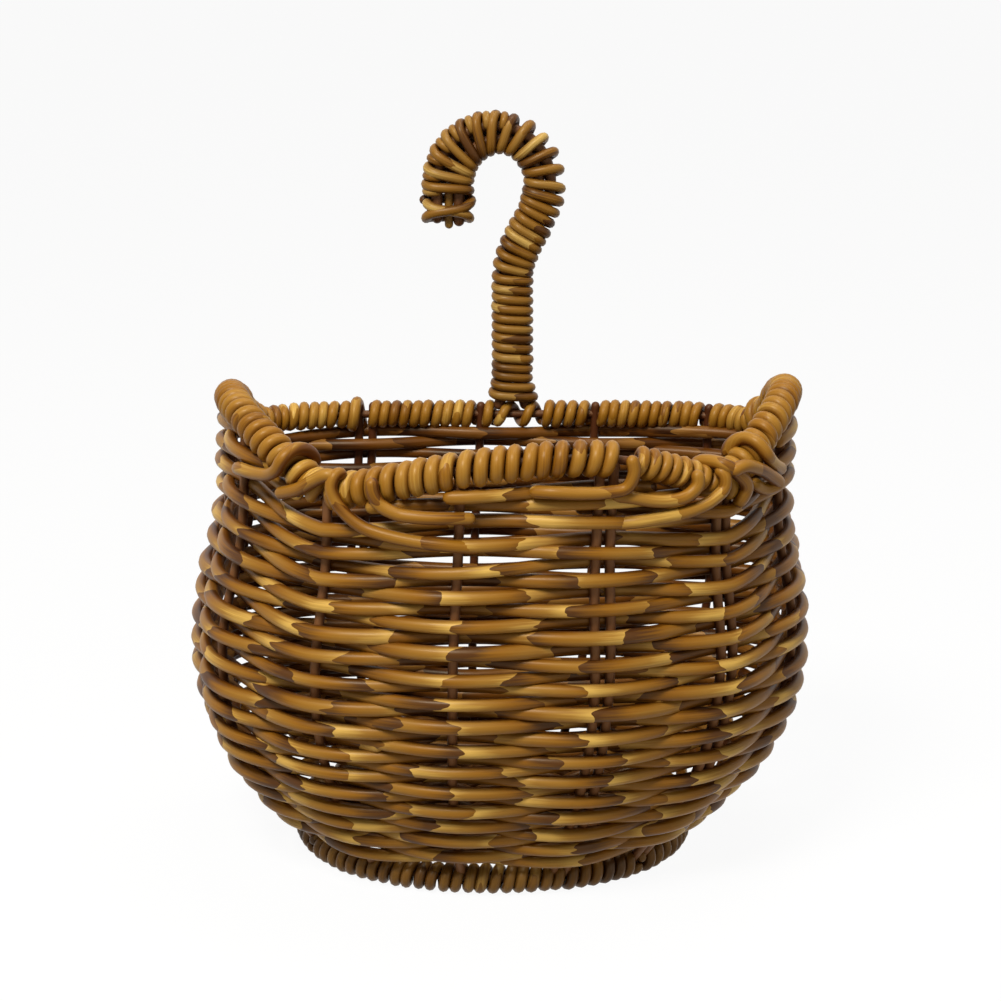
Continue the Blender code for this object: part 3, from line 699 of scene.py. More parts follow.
@dataclass
class RimLine:
    """The rim's waving line: how high it stands at each share of the way round."""

    wall: Wall
    back_drop: float = 0.032
    right_dip_stake: int = 4
    left_dip_stake: int = 7
    dip_rise: float = 0.004
    right_hump: tuple[float, float] = (0.277, 0.034)
    front_crest: tuple[float, float] = (0.460, 0.0255)
    left_hump: tuple[float, float] = (0.716, 0.032)
    back_right_share: float = 0.168
    back_left_share: float = 0.832
    samples: int = 1600
    smoothing: int = 17

    def height(self, share: Array | float) -> Array:
        """Heights of the rim's middle: quarter waves that are round at the top and sharp at the dips.

        Args:
            share: shares of the way round.

        Returns:
            The height at each share.
        """
        dips = float(stake_share(self.right_dip_stake)), float(stake_share(self.left_dip_stake))
        turns = (
            (0.0, 0.0), (self.back_right_share, 0.0), self.right_hump,
            (dips[0], self.dip_rise), self.front_crest, (dips[1], self.dip_rise),
            self.left_hump, (self.back_left_share, 0.0), (1.0, 0.0),
        )
        stations, rises = np.array(turns).T
        share = np.asarray(share) % 1.0
        place = np.clip(np.searchsorted(stations, share, side="right") - 1, 0, len(stations) - 2)
        part = (share - stations[place]) / (stations[place + 1] - stations[place])
        down = rises[place] > rises[place + 1]
        blend = np.where(down, 1 - np.cos(math.pi / 2 * part), np.sin(math.pi / 2 * part))
        rise = rises[place] * (1 - blend) + rises[place + 1] * blend
        return self.wall.foot_height + self.wall.height - self.back_drop + rise

    def track(self) -> Track:
        """The rim's middle line, with its sharp dips eased by a short running mean.

        Returns:
            The closed line.
        """
        share = np.arange(self.samples) / self.samples
        points = self.wall.at(self.height(share), share)
        half = self.smoothing // 2
        wide = np.vstack([points[-half:], points, points[:half]])
        total = np.cumsum(np.vstack([np.zeros(3), wide]), axis=0)
        return Track((total[self.smoothing :] - total[: -self.smoothing]) / self.smoothing, UP, closed=True)

    def stretch(self, track: Track, first: float, last: float) -> tuple[float, float]:
        """Distances along the rim's line of two shares of the way round, the second beyond the first.

        Args:
            track: the rim's line.
            first: the share that the stretch starts at.
            last: the share that it stops at.

        Returns:
            Where the stretch starts and stops.
        """
        known = np.arange(self.samples + 1) / self.samples
        start, stop = (float(np.interp(share % 1.0, known, track.run)) for share in (first, last))
        return start, stop + track.length if stop < start else stop


@dataclass
class Weave:
    """The wall's canes: one after the other over a stake and under the next, in a rising spiral."""

    wall: Wall
    rim: RimLine
    cane_radius: float = 0.0034
    stake_radius: float = 0.0012
    stake_spacing: float = 0.06
    pitch: float = 0.0063
    foot_reach: float = 0.0079
    rim_reach: float = 0.0080
    samples: int = 14
    passes_per_cane: float = 31.0
    ends: tuple[float, float] = (-0.5, 0.2)
    girths: tuple[float, float] = (0.90, 1.08)
    wave_share: float = 0.30
    loose_from: float = 0.8
    loosest: float = 1.3
    nodes: int = 16
    bow_stray: Stray = Stray(0.0004, 0.05)
    row_stray: Stray = Stray(0.0011, 0.09)
    girth_stray: Stray = Stray(0.06, 0.03)
    # The next three give painted shade: how strong it is where a cane passes behind a stake, how fast it
    # fades from there, and how strong it is on the canes' flanks.
    depth: float = 0.68
    under_shade_power: float = 1.5
    crease_shade: float = 0.8
    run_out: tuple[float, float] = (-0.4, 5.2)
    waves: tuple[tuple[float, float], ...] = ((0.17, 0.368), (0.368, 0.599), (0.599, 0.83))
    wave_points: int = 400
    least_points: int = 30
    row_ease: float = 0.35
    short_girth: float = 0.96
    short_looseness: float = 1.9

    def limits(self) -> tuple[float, float]:
        """Find the rows that run all the way round.

        Returns:
            The heights of the first of them and of the last.
        """
        first = self.wall.foot_height + self.foot_reach + self.cane_radius
        last = self.rim.height(np.array([stake_share(self.rim.right_dip_stake)]))[0]
        return first, float(last) - self.rim_reach - self.cane_radius

    def room(self, share: Array, last: float) -> Array:
        """Height between the last full row and the highest place that a row can have under the rim."""
        return self.rim.height(share) - self.rim_reach - self.cane_radius - last

    def cane(self, tubes: TubeSet, step: Array, height: Array, girth: float, loose: Array | float) -> None:
        """Add a cane that swings out and in as -cos(pi * step), one step a stake.

        Args:
            tubes: where it goes.
            step: stakes passed since the first, whole numbers at stakes.
            height: its height at each step.
            girth: its radius as a part of the usual radius.
            loose: how freely it strays from its row, 1 where the weave is tight.
        """
        rng = tubes.rng
        share = stake_share(step)
        run = step * self.stake_spacing
        swing = self.stake_radius + self.cane_radius * girth
        bow = -np.cos(math.pi * step) * swing + self.bow_stray.along(rng, run)
        height = height + self.row_stray.along(rng, run) * loose
        outward = self.wall.outward(height, share)
        path = self.wall.at(height, share) + bow[:, None] * outward
        radius = self.cane_radius * girth * (1 + self.girth_stray.along(rng, run))
        # Painted shade, strongest where the cane passes behind a stake.
        shade_amount = self.depth * (0.5 + 0.5 * np.cos(math.pi * step)) ** self.under_shade_power
        tubes.add(path, outward, radius, FINE_SIDES, shade_amount=shade_amount, crease_shade=self.crease_shade)

    def build(self) -> None:
        """Make the spiral in as many pieces as the solids have, and the short rows under the rim's waves."""
        first, last = self.limits()
        start, stop = np.interp([first, last], self.wall.heights, self.wall.climbed)
        rows = round((stop - start) / self.pitch)
        passes = rows * STAKES
        cuts = [2 * round(passes * number / self.nodes / 2) for number in range(self.nodes + 1)]
        for number, (low, high) in enumerate(zip(cuts, cuts[1:])):
            tubes = TubeSet(Draw.WEAVE + number)
            joins = np.linspace(low, high, round((high - low) / self.passes_per_cane) + 1)
            for begin, end in zip(joins, joins[1:]):
                points = int((end - begin) * self.samples)
                step = np.linspace(begin + self.ends[0], end + self.ends[1], points)
                part = step / passes
                height = self.wall.climb(first, last, np.clip(part, 0, 1))
                lift = self.wave_share * np.clip(part, 0, 1) ** 3 * self.room(stake_share(step), last)
                loose = 1 + self.loosest * np.clip((part - self.loose_from) / (1 - self.loose_from), 0, 1)
                self.cane(tubes, step, height + lift, tubes.rng.uniform(*self.girths), loose)
            if number == self.nodes - 1:
                self.short_rows(tubes, rows, last)
            tubes.make(f"weave_{number + 1:02d}", WEAVE_SKIN, f"weaver_{number + 1:02d}")

    def short_rows(self, tubes: TubeSet, rows: int, last: float) -> None:
        """Fill the space between the last full row and the rim with rows, where the rim stands higher.

        The spiral's end leaves one row open beyond it, and a cane that runs out fills that first.

        Args:
            tubes: where they go.
            rows: how many rows the spiral has.
            last: the height of its last row.
        """
        step = np.linspace(*self.run_out, 6 * self.samples)
        share = stake_share(step)
        height = last + self.wave_share * self.room(share, last) + 0.5 * self.pitch * (share - share[0])
        self.cane(tubes, step + rows * STAKES, height, self.short_girth, self.short_looseness)
        for begin, end in self.waves:
            share = np.linspace(begin, end, self.wave_points)
            room = self.room(share, last)
            base = self.wave_share * room
            for row in range(1, int(room.max() / self.pitch) + 1):
                under = share[room - base - (row - self.row_ease) * self.pitch > 0]
                if len(under) < self.least_points:
                    continue
                points = int((under[-1] - under[0]) * STAKES * self.samples) + 8
                share_along = np.linspace(under[0], under[-1], points)
                height = last + np.interp(share_along, share, base) + row * self.pitch
                step = stake_number(share_along) + (rows + row) * STAKES
                self.cane(tubes, step, height, self.short_girth, self.short_looseness)


@dataclass
class Stakes:
    """The upright stakes, single or in pairs, from the foot rod up to the rim rod."""

    wall: Wall
    rim: RimLine
    radius: float = 0.0024
    pair_gap: float = 0.0034
    pairs: tuple[int, ...] = (4, 5, 9, 11)
    standing_ends: tuple[int, ...] = (0, 1, 11, 12)
    end_rise: float = 0.0066
    sway: Stray = Stray(0.0005, 0.05)
    points: int = 60

    def build(self) -> None:
        """Make each stake as its own piece."""
        for number in range(STAKES):
            share = stake_share(number)
            tubes = TubeSet(Draw.STAKE + number)
            top = float(self.rim.height(np.array([share]))[0])
            top += self.end_rise if number in self.standing_ends else 0.0
            height = np.linspace(self.wall.foot_height, top, self.points)
            line, outward = self.wall.at(height, share), self.wall.outward(height, share)
            offsets = (-self.pair_gap, self.pair_gap) if number in self.pairs else (0.0,)
            for offset in offsets:
                aside = (offset + self.sway.along(tubes.rng, height)[:, None]) * np.cross(outward, UP)
                tubes.add(line + aside, outward, self.radius)
            tubes.make(f"upright_{number + 1:02d}", STAKE_SKIN, f"stake_{number + 1:02d}")


@dataclass
class Winding:
    """A cane wound round a rod, each loop a pitch further along it. It turns the way of hand, 1 or -1."""

    cane_radius: float
    core_radius: float
    pitch: float
    points_a_turn: int = 22
    hand: int = -1
    reach_stray: Stray = Stray(0.08, 0.8)
    lean_stray: Stray = Stray(0.10, 0.9)
    girth_stray: Stray = Stray(0.04, 0.6)

    def wind(self, tubes: TubeSet, track: Track, start: float, stop: float, phase: float = 0.0) -> None:
        """Add one unbroken cane wound from one distance along the track to another.

        Args:
            tubes: where it goes.
            track: the rod's middle line.
            start: where the winding starts.
            stop: where it stops.
            phase: the part of a turn at which it starts.
        """
        loops = max(round((stop - start) / self.pitch), 1)
        turns = np.linspace(0, loops, loops * self.points_a_turn + 1)
        runs = start + (stop - start) * turns / loops
        reach = self.core_radius + self.cane_radius * (1 + self.reach_stray.along(tubes.rng, turns))
        lean = self.lean_stray.along(tubes.rng, turns) * self.pitch
        place, ways = track.wound(runs + lean, phase + self.hand * turns, reach)
        radius = self.cane_radius * (1 + self.girth_stray.along(tubes.rng, turns))
        tubes.add(place, ways, radius)


CORE_SHADE = 0.7
# How much painted shade the rods of the rim and the foot get, in the shade of the canes wound round them, 0
# to 1.
"""How deep the rods of the rim and the foot lie in the shade of the canes wound round them, 0 to 1."""
ROD_SHADE = 0.5
"""The same for the hook's rods."""

RIM_WINDINGS = {
    "rim_winding_back_right": ((0.060, 0.137, 0.0027), (0.137, 0.213, 0.0027)),
    "rim_winding_right": ((0.213, 0.364, 0.0031),),
    "rim_winding_front_right": ((0.364, 0.4275, 0.0028), (0.4365, 0.527, 0.0033)),
    "rim_winding_front_left": ((0.527, 0.604, 0.0033), (0.606, 0.686, 0.0031)),
    "rim_winding_left": ((0.686, 0.829, 0.0031),),
    "rim_winding_back_left": ((0.829, 0.906, 0.0027), (0.906, 0.983, 0.0027)),
    "rim_winding_back": ((0.983, 0.9965, 0.0027), (1.0225, 1.060, 0.0027)),
}
"""Where each wound stretch starts and stops, as shares of the way round, and its cane's radius."""

RIM_WIDE = {"rim_winding_back": ((0.9945, 1.0245, 2),)}
"""Stretches whose loops stand wide apart, under the hook: first share, last share and how many loops."""

RIM_KNOTS = {"rim_winding_back_left": (0.896,), "rim_winding_back_right": (0.178,)}
"""Places of the single thicker loops that stand proud of the back rim, as shares of the way round."""

LEFT_DIP_ENDS = (
    ((0.595, 0.225, 6), (0.601, 0.2265, 9), (0.6085, 0.2235, 9.5), (0.619, 0.218, 9), (0.6375, 0.2125, 7.5)),
    (
        (0.595, 0.226, 2), (0.597, 0.2265, 8), (0.598, 0.2215, 10), (0.5955, 0.2155, 10), (0.589, 0.209, 9.5),
        (0.58, 0.204, 9), (0.567, 0.201, 8.5), (0.553, 0.199, 8), (0.531, 0.197, 7), (0.5145, 0.195, 3),
    ),
    (
        (0.574, 0.228, 10), (0.5735, 0.2225, 10.5), (0.5705, 0.2165, 10), (0.561, 0.212, 9.5),
        (0.5475, 0.2105, 9), (0.531, 0.21, 7), (0.5175, 0.209, 3),
    ),
    (
        (0.627, 0.2235, -10), (0.6275, 0.2295, -7.5), (0.628, 0.2335, -1), (0.6285, 0.2340, 5),
        (0.630, 0.2305, 10.5), (0.6335, 0.2255, 11), (0.640, 0.222, 10), (0.6515, 0.22, 9),
        (0.6705, 0.219, 8.5), (0.682, 0.2165, 5),
    ),
)
"""Loose ends round the rim's left dip: places of share of the way round, height and millimetres out."""
CREST_ENDS = (
    (
        (0.434, 0.239, 10), (0.432, 0.231, 11), (0.435, 0.224, 10), (0.4465, 0.222, 9),
        (0.4605, 0.222, 8.5), (0.4765, 0.2225, 7), (0.4875, 0.222, 3),
    ),
    (
        (0.3935, 0.2285, 9), (0.3935, 0.2215, 10.5), (0.399, 0.217, 10), (0.409, 0.2155, 9.5),
        (0.421, 0.2165, 9), (0.431, 0.2185, 8), (0.442, 0.219, 4),
    ),
    (
        (0.3775, 0.2265, 6), (0.3755, 0.224, 10), (0.3755, 0.2185, 11), (0.382, 0.2135, 10.5),
        (0.397, 0.2095, 10), (0.4115, 0.208, 9), (0.425, 0.2065, 7), (0.438, 0.205, 3),
    ),
)
"""Loose ends under the front crest and right of it."""
RIGHT_DIP_ENDS = (
    (
        (0.379, 0.2190, -10), (0.3785, 0.2265, -6), (0.377, 0.2290, 3), (0.375, 0.2285, 9),
        (0.3665, 0.2235, 11), (0.358, 0.215, 10.5), (0.3585, 0.209, 8), (0.357, 0.2065, 4),
    ),
    (
        (0.373, 0.225, 11.5), (0.3655, 0.227, 12.5), (0.3525, 0.224, 12), (0.3405, 0.219, 11),
        (0.3275, 0.211, 10), (0.3335, 0.21, 8), (0.3485, 0.2155, 7),
    ),
    (
        (0.3465, 0.2245, -10), (0.346, 0.2310, -7.5), (0.3455, 0.2350, -1), (0.3455, 0.2340, 7),
        (0.343, 0.2295, 10.5), (0.3365, 0.2245, 10), (0.317, 0.216, 8),
    ),
)
"""Loose ends round the right dip."""

RIM_ENDS = {
    "rim_winding_front_left": LEFT_DIP_ENDS,
    "rim_winding_front_right": CREST_ENDS,
    "rim_winding_right": RIGHT_DIP_ENDS,
}
"""The ends that cross the rim and go into the weave, by the wound stretch that they belong to."""


@dataclass
class Rim:
    """The rim: a brown core with canes wound close round it, thinner at the back, and their loose ends."""

    wall: Wall
    line: RimLine
    core_radius: float = 0.0021
    spacing: float = 2.08
    back_limit: float = 0.0028
    back_gap: float = 0.0028
    front_gap: float = 0.0004
    tuck: float = 0.75
    wide_cane: float = 0.0026
    knot_lift: float = 0.0014
    knot_pitch: float = 0.006
    end_cane: float = 0.0031
    end_stray: Stray = Stray(0.05, 0.02)
    end_step: float = 0.0015
    end_lean: float = 0.35
    end_lift: float = 0.6

    def end(self, tubes: TubeSet, places: tuple[Triple, ...]) -> None:
        """Add a cane's end that passes through places by the wall.

        Args:
            tubes: where it goes.
            places: share of the way round, height and millimetres out of the wall, one a place.
        """
        share, height, out = np.array(places, float).T
        outward = self.wall.outward(height, share)
        points = self.wall.at(height, share) + out[:, None] / 1000 * outward
        run = run_along(points)
        fine = np.linspace(0, run[-1], int(run[-1] / self.end_step) + 8)
        path = np.stack([hermite(fine, run, column) for column in points.T], axis=1)
        ways = outward + self.end_lean * np.cross(outward, UP) + self.end_lift * np.array(UP)
        radius = self.end_cane * (1 + self.end_stray.along(tubes.rng, fine))
        tubes.add(path, rows_at(fine, run, ways), radius, FINE_SIDES)

    def build(self) -> None:
        """Make the core and one piece for each wound stretch of the solids."""
        track = self.line.track()
        core = TubeSet(Draw.RIM_CORE)
        core.add(track.points, UP, self.core_radius, closed=True, shade_amount=CORE_SHADE)
        core.make("rim_core", STAKE_SKIN, "rim_rod")
        for number, (node, windings) in enumerate(RIM_WINDINGS.items()):
            tubes = TubeSet(Draw.RIM_WINDING + number)
            for first, last, radius in windings:
                start, stop = self.line.stretch(track, first, last)
                gap = self.back_gap if radius < self.back_limit else self.front_gap
                winding = Winding(radius, self.core_radius, radius * self.spacing)
                winding.wind(tubes, track, start + gap, stop - gap, self.tuck)
            for first, last, loops in RIM_WIDE.get(node, ()):
                start, stop = self.line.stretch(track, first, last)
                winding = Winding(self.wide_cane, self.core_radius, (stop - start) / loops)
                winding.wind(tubes, track, start, stop, self.tuck)
            for share in RIM_KNOTS.get(node, ()):
                start, _ = self.line.stretch(track, share, share)
                knot = Winding(self.end_cane, self.core_radius + self.knot_lift, self.knot_pitch)
                knot.wind(tubes, track, start, start + self.knot_pitch, self.tuck)
            for places in RIM_ENDS.get(node, ()):
                self.end(tubes, places)
            tubes.make(f"wound_{node[4:]}", RIM_SKIN, node)


@dataclass
class Foot:
    """The foot ring: a brown rod with a cane wound round it."""

    wall: Wall
    core_radius: float = 0.0017
    cane_radius: float = 0.0029
    pitch: float = 0.0062
    gap: float = 0.0005
    samples: int = 900
    stretches: tuple[tuple[str, int, int], ...] = (("right", 0, 4), ("front", 4, 8), ("left", 8, 13))

    def build(self) -> None:
        """Make the rod and the three wound stretches, each from one stake to another."""
        share = np.arange(self.samples) / self.samples
        track = Track(self.wall.at(self.wall.foot_height, share), UP, closed=True)
        core = TubeSet(Draw.FOOT_CORE)
        core.add(track.points, UP, self.core_radius, closed=True, shade_amount=CORE_SHADE)
        core.make("foot_core", STAKE_SKIN, "foot_rod")
        known = np.arange(self.samples + 1) / self.samples
        for number, (name, first, last) in enumerate(self.stretches):
            turns, rest = np.divmod(stake_share(np.array([first, last])), 1.0)
            start, stop = np.interp(rest, known, track.run) + turns * track.length
            tubes = TubeSet(Draw.FOOT_WINDING + number)
            winding = Winding(self.cane_radius, self.core_radius, self.pitch)
            winding.wind(tubes, track, float(start) + self.gap, float(stop) - self.gap)
            tubes.make(f"wound_foot_{name}", SHADED_FOOT_SKIN, f"foot_winding_{name}")


OUTER_SIDE = -1.0
"""The hook's way aside points into its bend, so the outer rod lies against it."""


@dataclass
class Hook:
    """The hook: two rods side by side, bent over to the left, with a cane wound round both."""

    rim: RimLine
    centre_x: float = 0.004
    base_rise: float = 0.0029
    shaft: float = 0.070
    sway: float = 0.0165
    sway_height: float = 0.0492
    arch_radius: float = 0.0262
    tip: float = 0.0215
    foot_spread: float = 0.0075
    spread_height: float = 0.016
    rod_radius: float = 0.0029
    rod_gap: float = 0.00015
    rod_ends: tuple[float, float, float] = (-0.0005, -0.0005, 0.0010)
    cane_radius: float = 0.0026
    pitch: float = 0.00516
    first_loop: float = 0.0050
    tip_room: float = 0.012
    points_a_turn: int = 28
    lean_stray: Stray = Stray(0.08, 0.9)
    reach_stray: Stray = Stray(0.10, 0.7)
    girth_stray: Stray = Stray(0.06, 0.6)
    tip_swell: float = 0.0026
    swell_parts: tuple[float, float] = (0.35, 0.6)
    bend_part: float = 0.95
    bend_spacing: float = 1.376
    first_filler: float = 0.36
    filler_place: float = 0.75
    filler_turn: float = 0.44
    filler_radius: float = 0.0022
    filler_tuck: float = 0.9
    tuck_power: int = 5
    tie_ends: tuple[float, float] = (0.0030, 0.0032)
    tie_lift: float = 0.0016
    tie_crossing: float = 0.9
    stub_ends: tuple[float, float] = (-0.022, 0.0022)
    stub_radius: float = 0.0023
    stub_aside: float = 0.0005
    flatness: float = 3.0
    fine: int = 60
    rod_points: int = 200
    filler_points: int = 25
    stub_points: int = 24

    def track(self) -> Track:
        """The middle line: a straight shaft, a cosine sway to the right, half a circle and a straight tip.

        Returns:
            The line, in a plane that faces the front.
        """
        base = self.rim.height(np.array([0.0]))[0] + self.base_rise
        origin = self.rim.wall.origin
        up = np.linspace(0, self.shaft, self.fine)[:-1]
        part = np.linspace(0, 1, self.fine)[:-1]
        angle = np.linspace(0, math.pi, 2 * self.fine)[:-1]
        down = np.linspace(0, self.tip, self.fine // 2)
        centre = self.sway - self.arch_radius
        top = self.shaft + self.sway_height
        x = np.concatenate([
            0 * up,
            self.sway * (0.5 - 0.5 * np.cos(math.pi * part)),
            centre + self.arch_radius * np.cos(angle),
            centre - self.arch_radius + 0 * down,
        ])
        z = np.concatenate([
            up,
            self.shaft + self.sway_height * part,
            top + self.arch_radius * np.sin(angle),
            top - down,
        ])
        points = np.stack([x + self.centre_x + origin[0], np.full_like(x, origin[1]), z + base], axis=1)
        return Track(points, (0.0, -1.0, 0.0))

    def swell(self, run: Array) -> Array:
        """Half of what the rods stand further apart towards the tip, where only the inner one moves away.

        Args:
            run: distances along the hook.

        Returns:
            That half at each distance.
        """
        half_round = math.pi * self.arch_radius
        bend = self.shaft + self.sway_height + self.swell_parts[0] * half_round
        part = np.clip((run - bend) / (self.swell_parts[1] * half_round), 0, 1)
        return self.tip_swell * (0.5 - 0.5 * np.cos(math.pi * part))

    def frame(self, track: Track, runs: Array) -> tuple[Array, Array, Array, Array]:
        """Read the hook's line, moved to the middle between the rods, also a little beyond its ends.

        Args:
            track: the hook's middle line.
            runs: distances along it.

        Returns:
            The points, the ways up, the ways aside, and half the distance between the rods.
        """
        inside = np.clip(runs, 0, track.length)
        point, ups, asides = track.read(inside)
        swell = self.swell(runs)
        beyond = (runs - inside)[:, None] * np.cross(asides, ups)
        close = self.rod_radius + self.rod_gap
        foot = close + (self.foot_spread - close) * (1 - np.clip(runs / self.spread_height, 0, 1))
        return point + beyond - OUTER_SIDE * swell[:, None] * asides, ups, asides, foot + swell

    def round(self, track: Track, runs: Array, angle: Array, reach: Array) -> tuple[Array, Array]:
        """Points on the oval round both rods.

        Args:
            track: the hook's middle line.
            runs: distances along it.
            angle: angles from the way aside, one a distance.
            reach: how far off the rods' middles the points are.

        Returns:
            The points, and their ways out of the oval.
        """
        point, ups, asides, spread = self.frame(track, runs)
        cos, sin = np.cos(angle)[:, None], np.sin(angle)[:, None]
        wide = reach[:, None] * cos + spread[:, None] * np.tanh(self.flatness * cos)
        return point + wide * asides + reach[:, None] * sin * ups, unit(cos * asides + sin * ups)

    def loop_runs(self, stop: float, bend_start: float, bend_stop: float) -> Array:
        """Where each loop starts: a pitch apart on straight stretches and wider on the bend.

        Args:
            stop: no loop starts beyond this distance.
            bend_start: where the bend starts.
            bend_stop: where it stops.

        Returns:
            The distances along the hook.
        """
        runs = [self.first_loop]
        while runs[-1] < stop:
            bent = bend_start < runs[-1] < bend_stop
            runs.append(runs[-1] + self.pitch * (self.bend_spacing if bent else 1.0))
        return np.array(runs[:-1])

    def wrap(self, tubes: TubeSet, track: Track, loops: Array) -> None:
        """Add an unbroken cane with a loop from each distance to the next.

        Args:
            tubes: where it goes.
            track: the hook's middle line.
            loops: the distances.
        """
        turns = np.linspace(0, len(loops) - 1, (len(loops) - 1) * self.points_a_turn + 1)
        runs = np.interp(turns, np.arange(len(loops)), loops)
        runs = runs + self.lean_stray.along(tubes.rng, turns) * self.pitch
        reach = self.rod_radius + self.cane_radius * (1 + self.reach_stray.along(tubes.rng, turns))
        path, ways = self.round(track, runs, -FULL * (turns + 0.25), reach)
        tubes.add(path, ways, self.cane_radius * (1 + self.girth_stray.along(tubes.rng, turns)))

    def filler(self, tubes: TubeSet, track: Track, run: float) -> None:
        """Add a short cane between two loops on the outside of the bend, its ends tucked in.

        Args:
            tubes: where it goes.
            track: the hook's middle line.
            run: how far along the hook it lies.
        """
        across = np.linspace(-1, 1, self.filler_points)
        outer = 0.0 if OUTER_SIDE > 0 else math.pi
        tuck = self.filler_tuck * np.abs(across) ** self.tuck_power
        reach = self.rod_radius + self.cane_radius * (1.0 - tuck)
        angle = outer + across * self.filler_turn / 2 * FULL
        path, ways = self.round(track, np.full(self.filler_points, run), angle, reach)
        tubes.add(path, ways, self.filler_radius)

    def tie(self, tubes: TubeSet, track: Track, low: float, high: float) -> None:
        """Add the cane that crosses itself on the front of the tip: up across it, round, and down across it.

        Args:
            tubes: where it goes.
            track: the hook's middle line.
            low: the distance along the hook at which it starts and ends.
            high: the distance to which it goes up.
        """
        turns = np.linspace(0, 2, 2 * self.points_a_turn + 1)
        runs = low + (high - low) * np.interp(turns, [0, 0.5, 1.0, 1.5, 2.0], [0, 1, 1, 0, 0])
        reach = self.rod_radius + self.cane_radius + self.tie_lift * np.clip(turns - self.tie_crossing, 0, 1)
        path, ways = self.round(track, runs, math.pi - FULL * turns, reach)
        tubes.add(path, ways, self.cane_radius)

    def build(self) -> None:
        """Make the rods, the two wound stretches with their fillers, and the tie."""
        track = self.track()
        foot, outer_end, inner_end = self.rod_ends
        for side, name, beyond in ((1, "outer", outer_end), (-1, "inner", inner_end)):
            tubes = TubeSet(Draw.HOOK_ROD + side)
            runs = np.linspace(foot, track.length + beyond, self.rod_points)
            point, ups, asides, spread = self.frame(track, runs)
            path = point + side * OUTER_SIDE * spread[:, None] * asides
            tubes.add(path, ups, self.rod_radius, FINE_SIDES, shade_amount=ROD_SHADE)
            tubes.make(f"hook_core_{name}", STAKE_SKIN, f"hook_rod_{name}")
        bend_start = self.shaft + self.sway_height * self.bend_part
        bend_stop = track.length - self.tip
        loops = self.loop_runs(track.length - self.tip_room, bend_start, bend_stop)
        split = int(np.searchsorted(loops, bend_start))
        shaft = TubeSet(Draw.HOOK_SHAFT)
        self.wrap(shaft, track, loops[: split + 1])
        shaft.make("wound_hook_shaft", HOOK_SKIN, "hook_winding_shaft")
        crook = TubeSet(Draw.HOOK_CROOK)
        self.wrap(crook, track, loops[split:])
        first_filled = bend_start + (bend_stop - bend_start) * self.first_filler
        filled = loops[(loops > first_filled) & (loops < bend_stop)]
        for run in filled + self.pitch * self.bend_spacing * self.filler_place:
            self.filler(crook, track, float(run))
        crook.make("wound_hook_crook", HOOK_SKIN, "hook_winding_crook")
        tip = TubeSet(Draw.HOOK_TIP)
        self.tie(tip, track, float(loops[-1]) + self.tie_ends[0], track.length - self.tie_ends[1])
        stub = track.length + np.linspace(*self.stub_ends, self.stub_points)
        point, ups, asides, _ = self.frame(track, stub)
        tip.add(point + self.stub_aside * asides, ups, self.stub_radius)
        tip.make("tip_tie", HOOK_SKIN, "hook_tip_tie")


@dataclass
class Base:
    """The base: sticks from front to back, with a cane woven to and fro across them."""

    wall: Wall
    stick_radius: float = 0.0025
    cane_radius: float = 0.0026
    sticks: int = 5
    height: float = 0.01844
    edge: float = 0.0120
    row_pitch: float = 0.0053
    tightness: float = 0.85
    least_half: float = 0.0104
    widest_half: float = 0.1
    half_steps: int = 401
    outline_points: int = 721
    stick_points: int = 12
    row_points: int = 60

    def half_room(self, y: Array) -> Array:
        """Half the width of the base: the widest half that keeps the edge distance to the foot's line.

        Args:
            y: the places of the rows, from front to back.

        Returns:
            Half the width at each.
        """
        line = self.wall.at(self.wall.foot_height, np.linspace(0, 1, self.outline_points))
        halves = np.linspace(0, self.widest_half, self.half_steps)
        x = self.middle_x + halves
        apart = np.hypot(x[None, :, None] - line[None, None, :, 0], y[:, None, None] - line[None, None, :, 1])
        clear = np.cumprod(apart.min(axis=2) > self.edge, axis=1)
        return np.max(clear * halves[None, :], axis=1)

    @property
    def middle_x(self) -> float:
        """Where the base's middle line is."""
        return self.wall.origin[0] + self.wall.foot_shift

    def build(self) -> None:
        """Make each stick, and the cane that is woven across them."""
        xs = []
        for number in range(self.sticks):
            low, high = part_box(f"base_stick_{number + 1}")
            xs.append((low[0] + high[0]) / 2)
            y = np.linspace(low[1], high[1], self.stick_points)
            path = np.stack([np.full_like(y, xs[-1]), y, np.full_like(y, self.height)], axis=1)
            tubes = TubeSet(Draw.BASE_STICK + number)
            tubes.add(path, UP, self.stick_radius)
            tubes.make(f"base_rod_{number + 1}", STAKE_SKIN, f"base_stick_{number + 1}")
        left, right = min(xs), max(xs)
        back = self.wall.origin[1] - self.edge
        front = self.wall.origin[1] - self.wall.depths[0] + self.edge
        ys = np.arange(back, front, -self.row_pitch)
        tubes = TubeSet(Draw.BASE_WEAVE)
        for row, (y, half) in enumerate(zip(ys, self.half_room(ys))):
            if half < self.least_half:
                continue
            x = self.middle_x + np.linspace(-half, half, self.row_points)
            place = (x - left) / (right - left) * (self.sticks - 1)
            swing = np.cos(math.pi * place) * (1 if row % 2 else -1)
            z = self.height + swing * (self.stick_radius + self.cane_radius) * self.tightness
            tubes.add(np.stack([x, np.full_like(x, y), z], axis=1), (0.0, 1.0, 0.0), self.cane_radius)
        tubes.make("base_weave", SHADED_FOOT_SKIN, "base_weaver")


@dataclass(frozen=True)
class Lamp:
    """A square soft lamp: where it is, the point that it's turned to, its side and its power in watts."""

    name: str
    place: Triple
    aim: Triple
    size: float
    power: float

    def light(self) -> None:
        """Put the lamp in the scene."""
        data = bpy.data.lights.new(self.name, "AREA")
        data.size = self.size
        data.energy = self.power
        lamp = bpy.data.objects.new(self.name, data)
        bpy.context.scene.collection.objects.link(lamp)
        lamp.location = self.place
        way = np.array(self.aim) - np.array(self.place)
        level = math.hypot(way[0], way[1])
        lamp.rotation_euler = (math.atan2(level, -way[2]), 0, math.atan2(-way[0], way[1]))


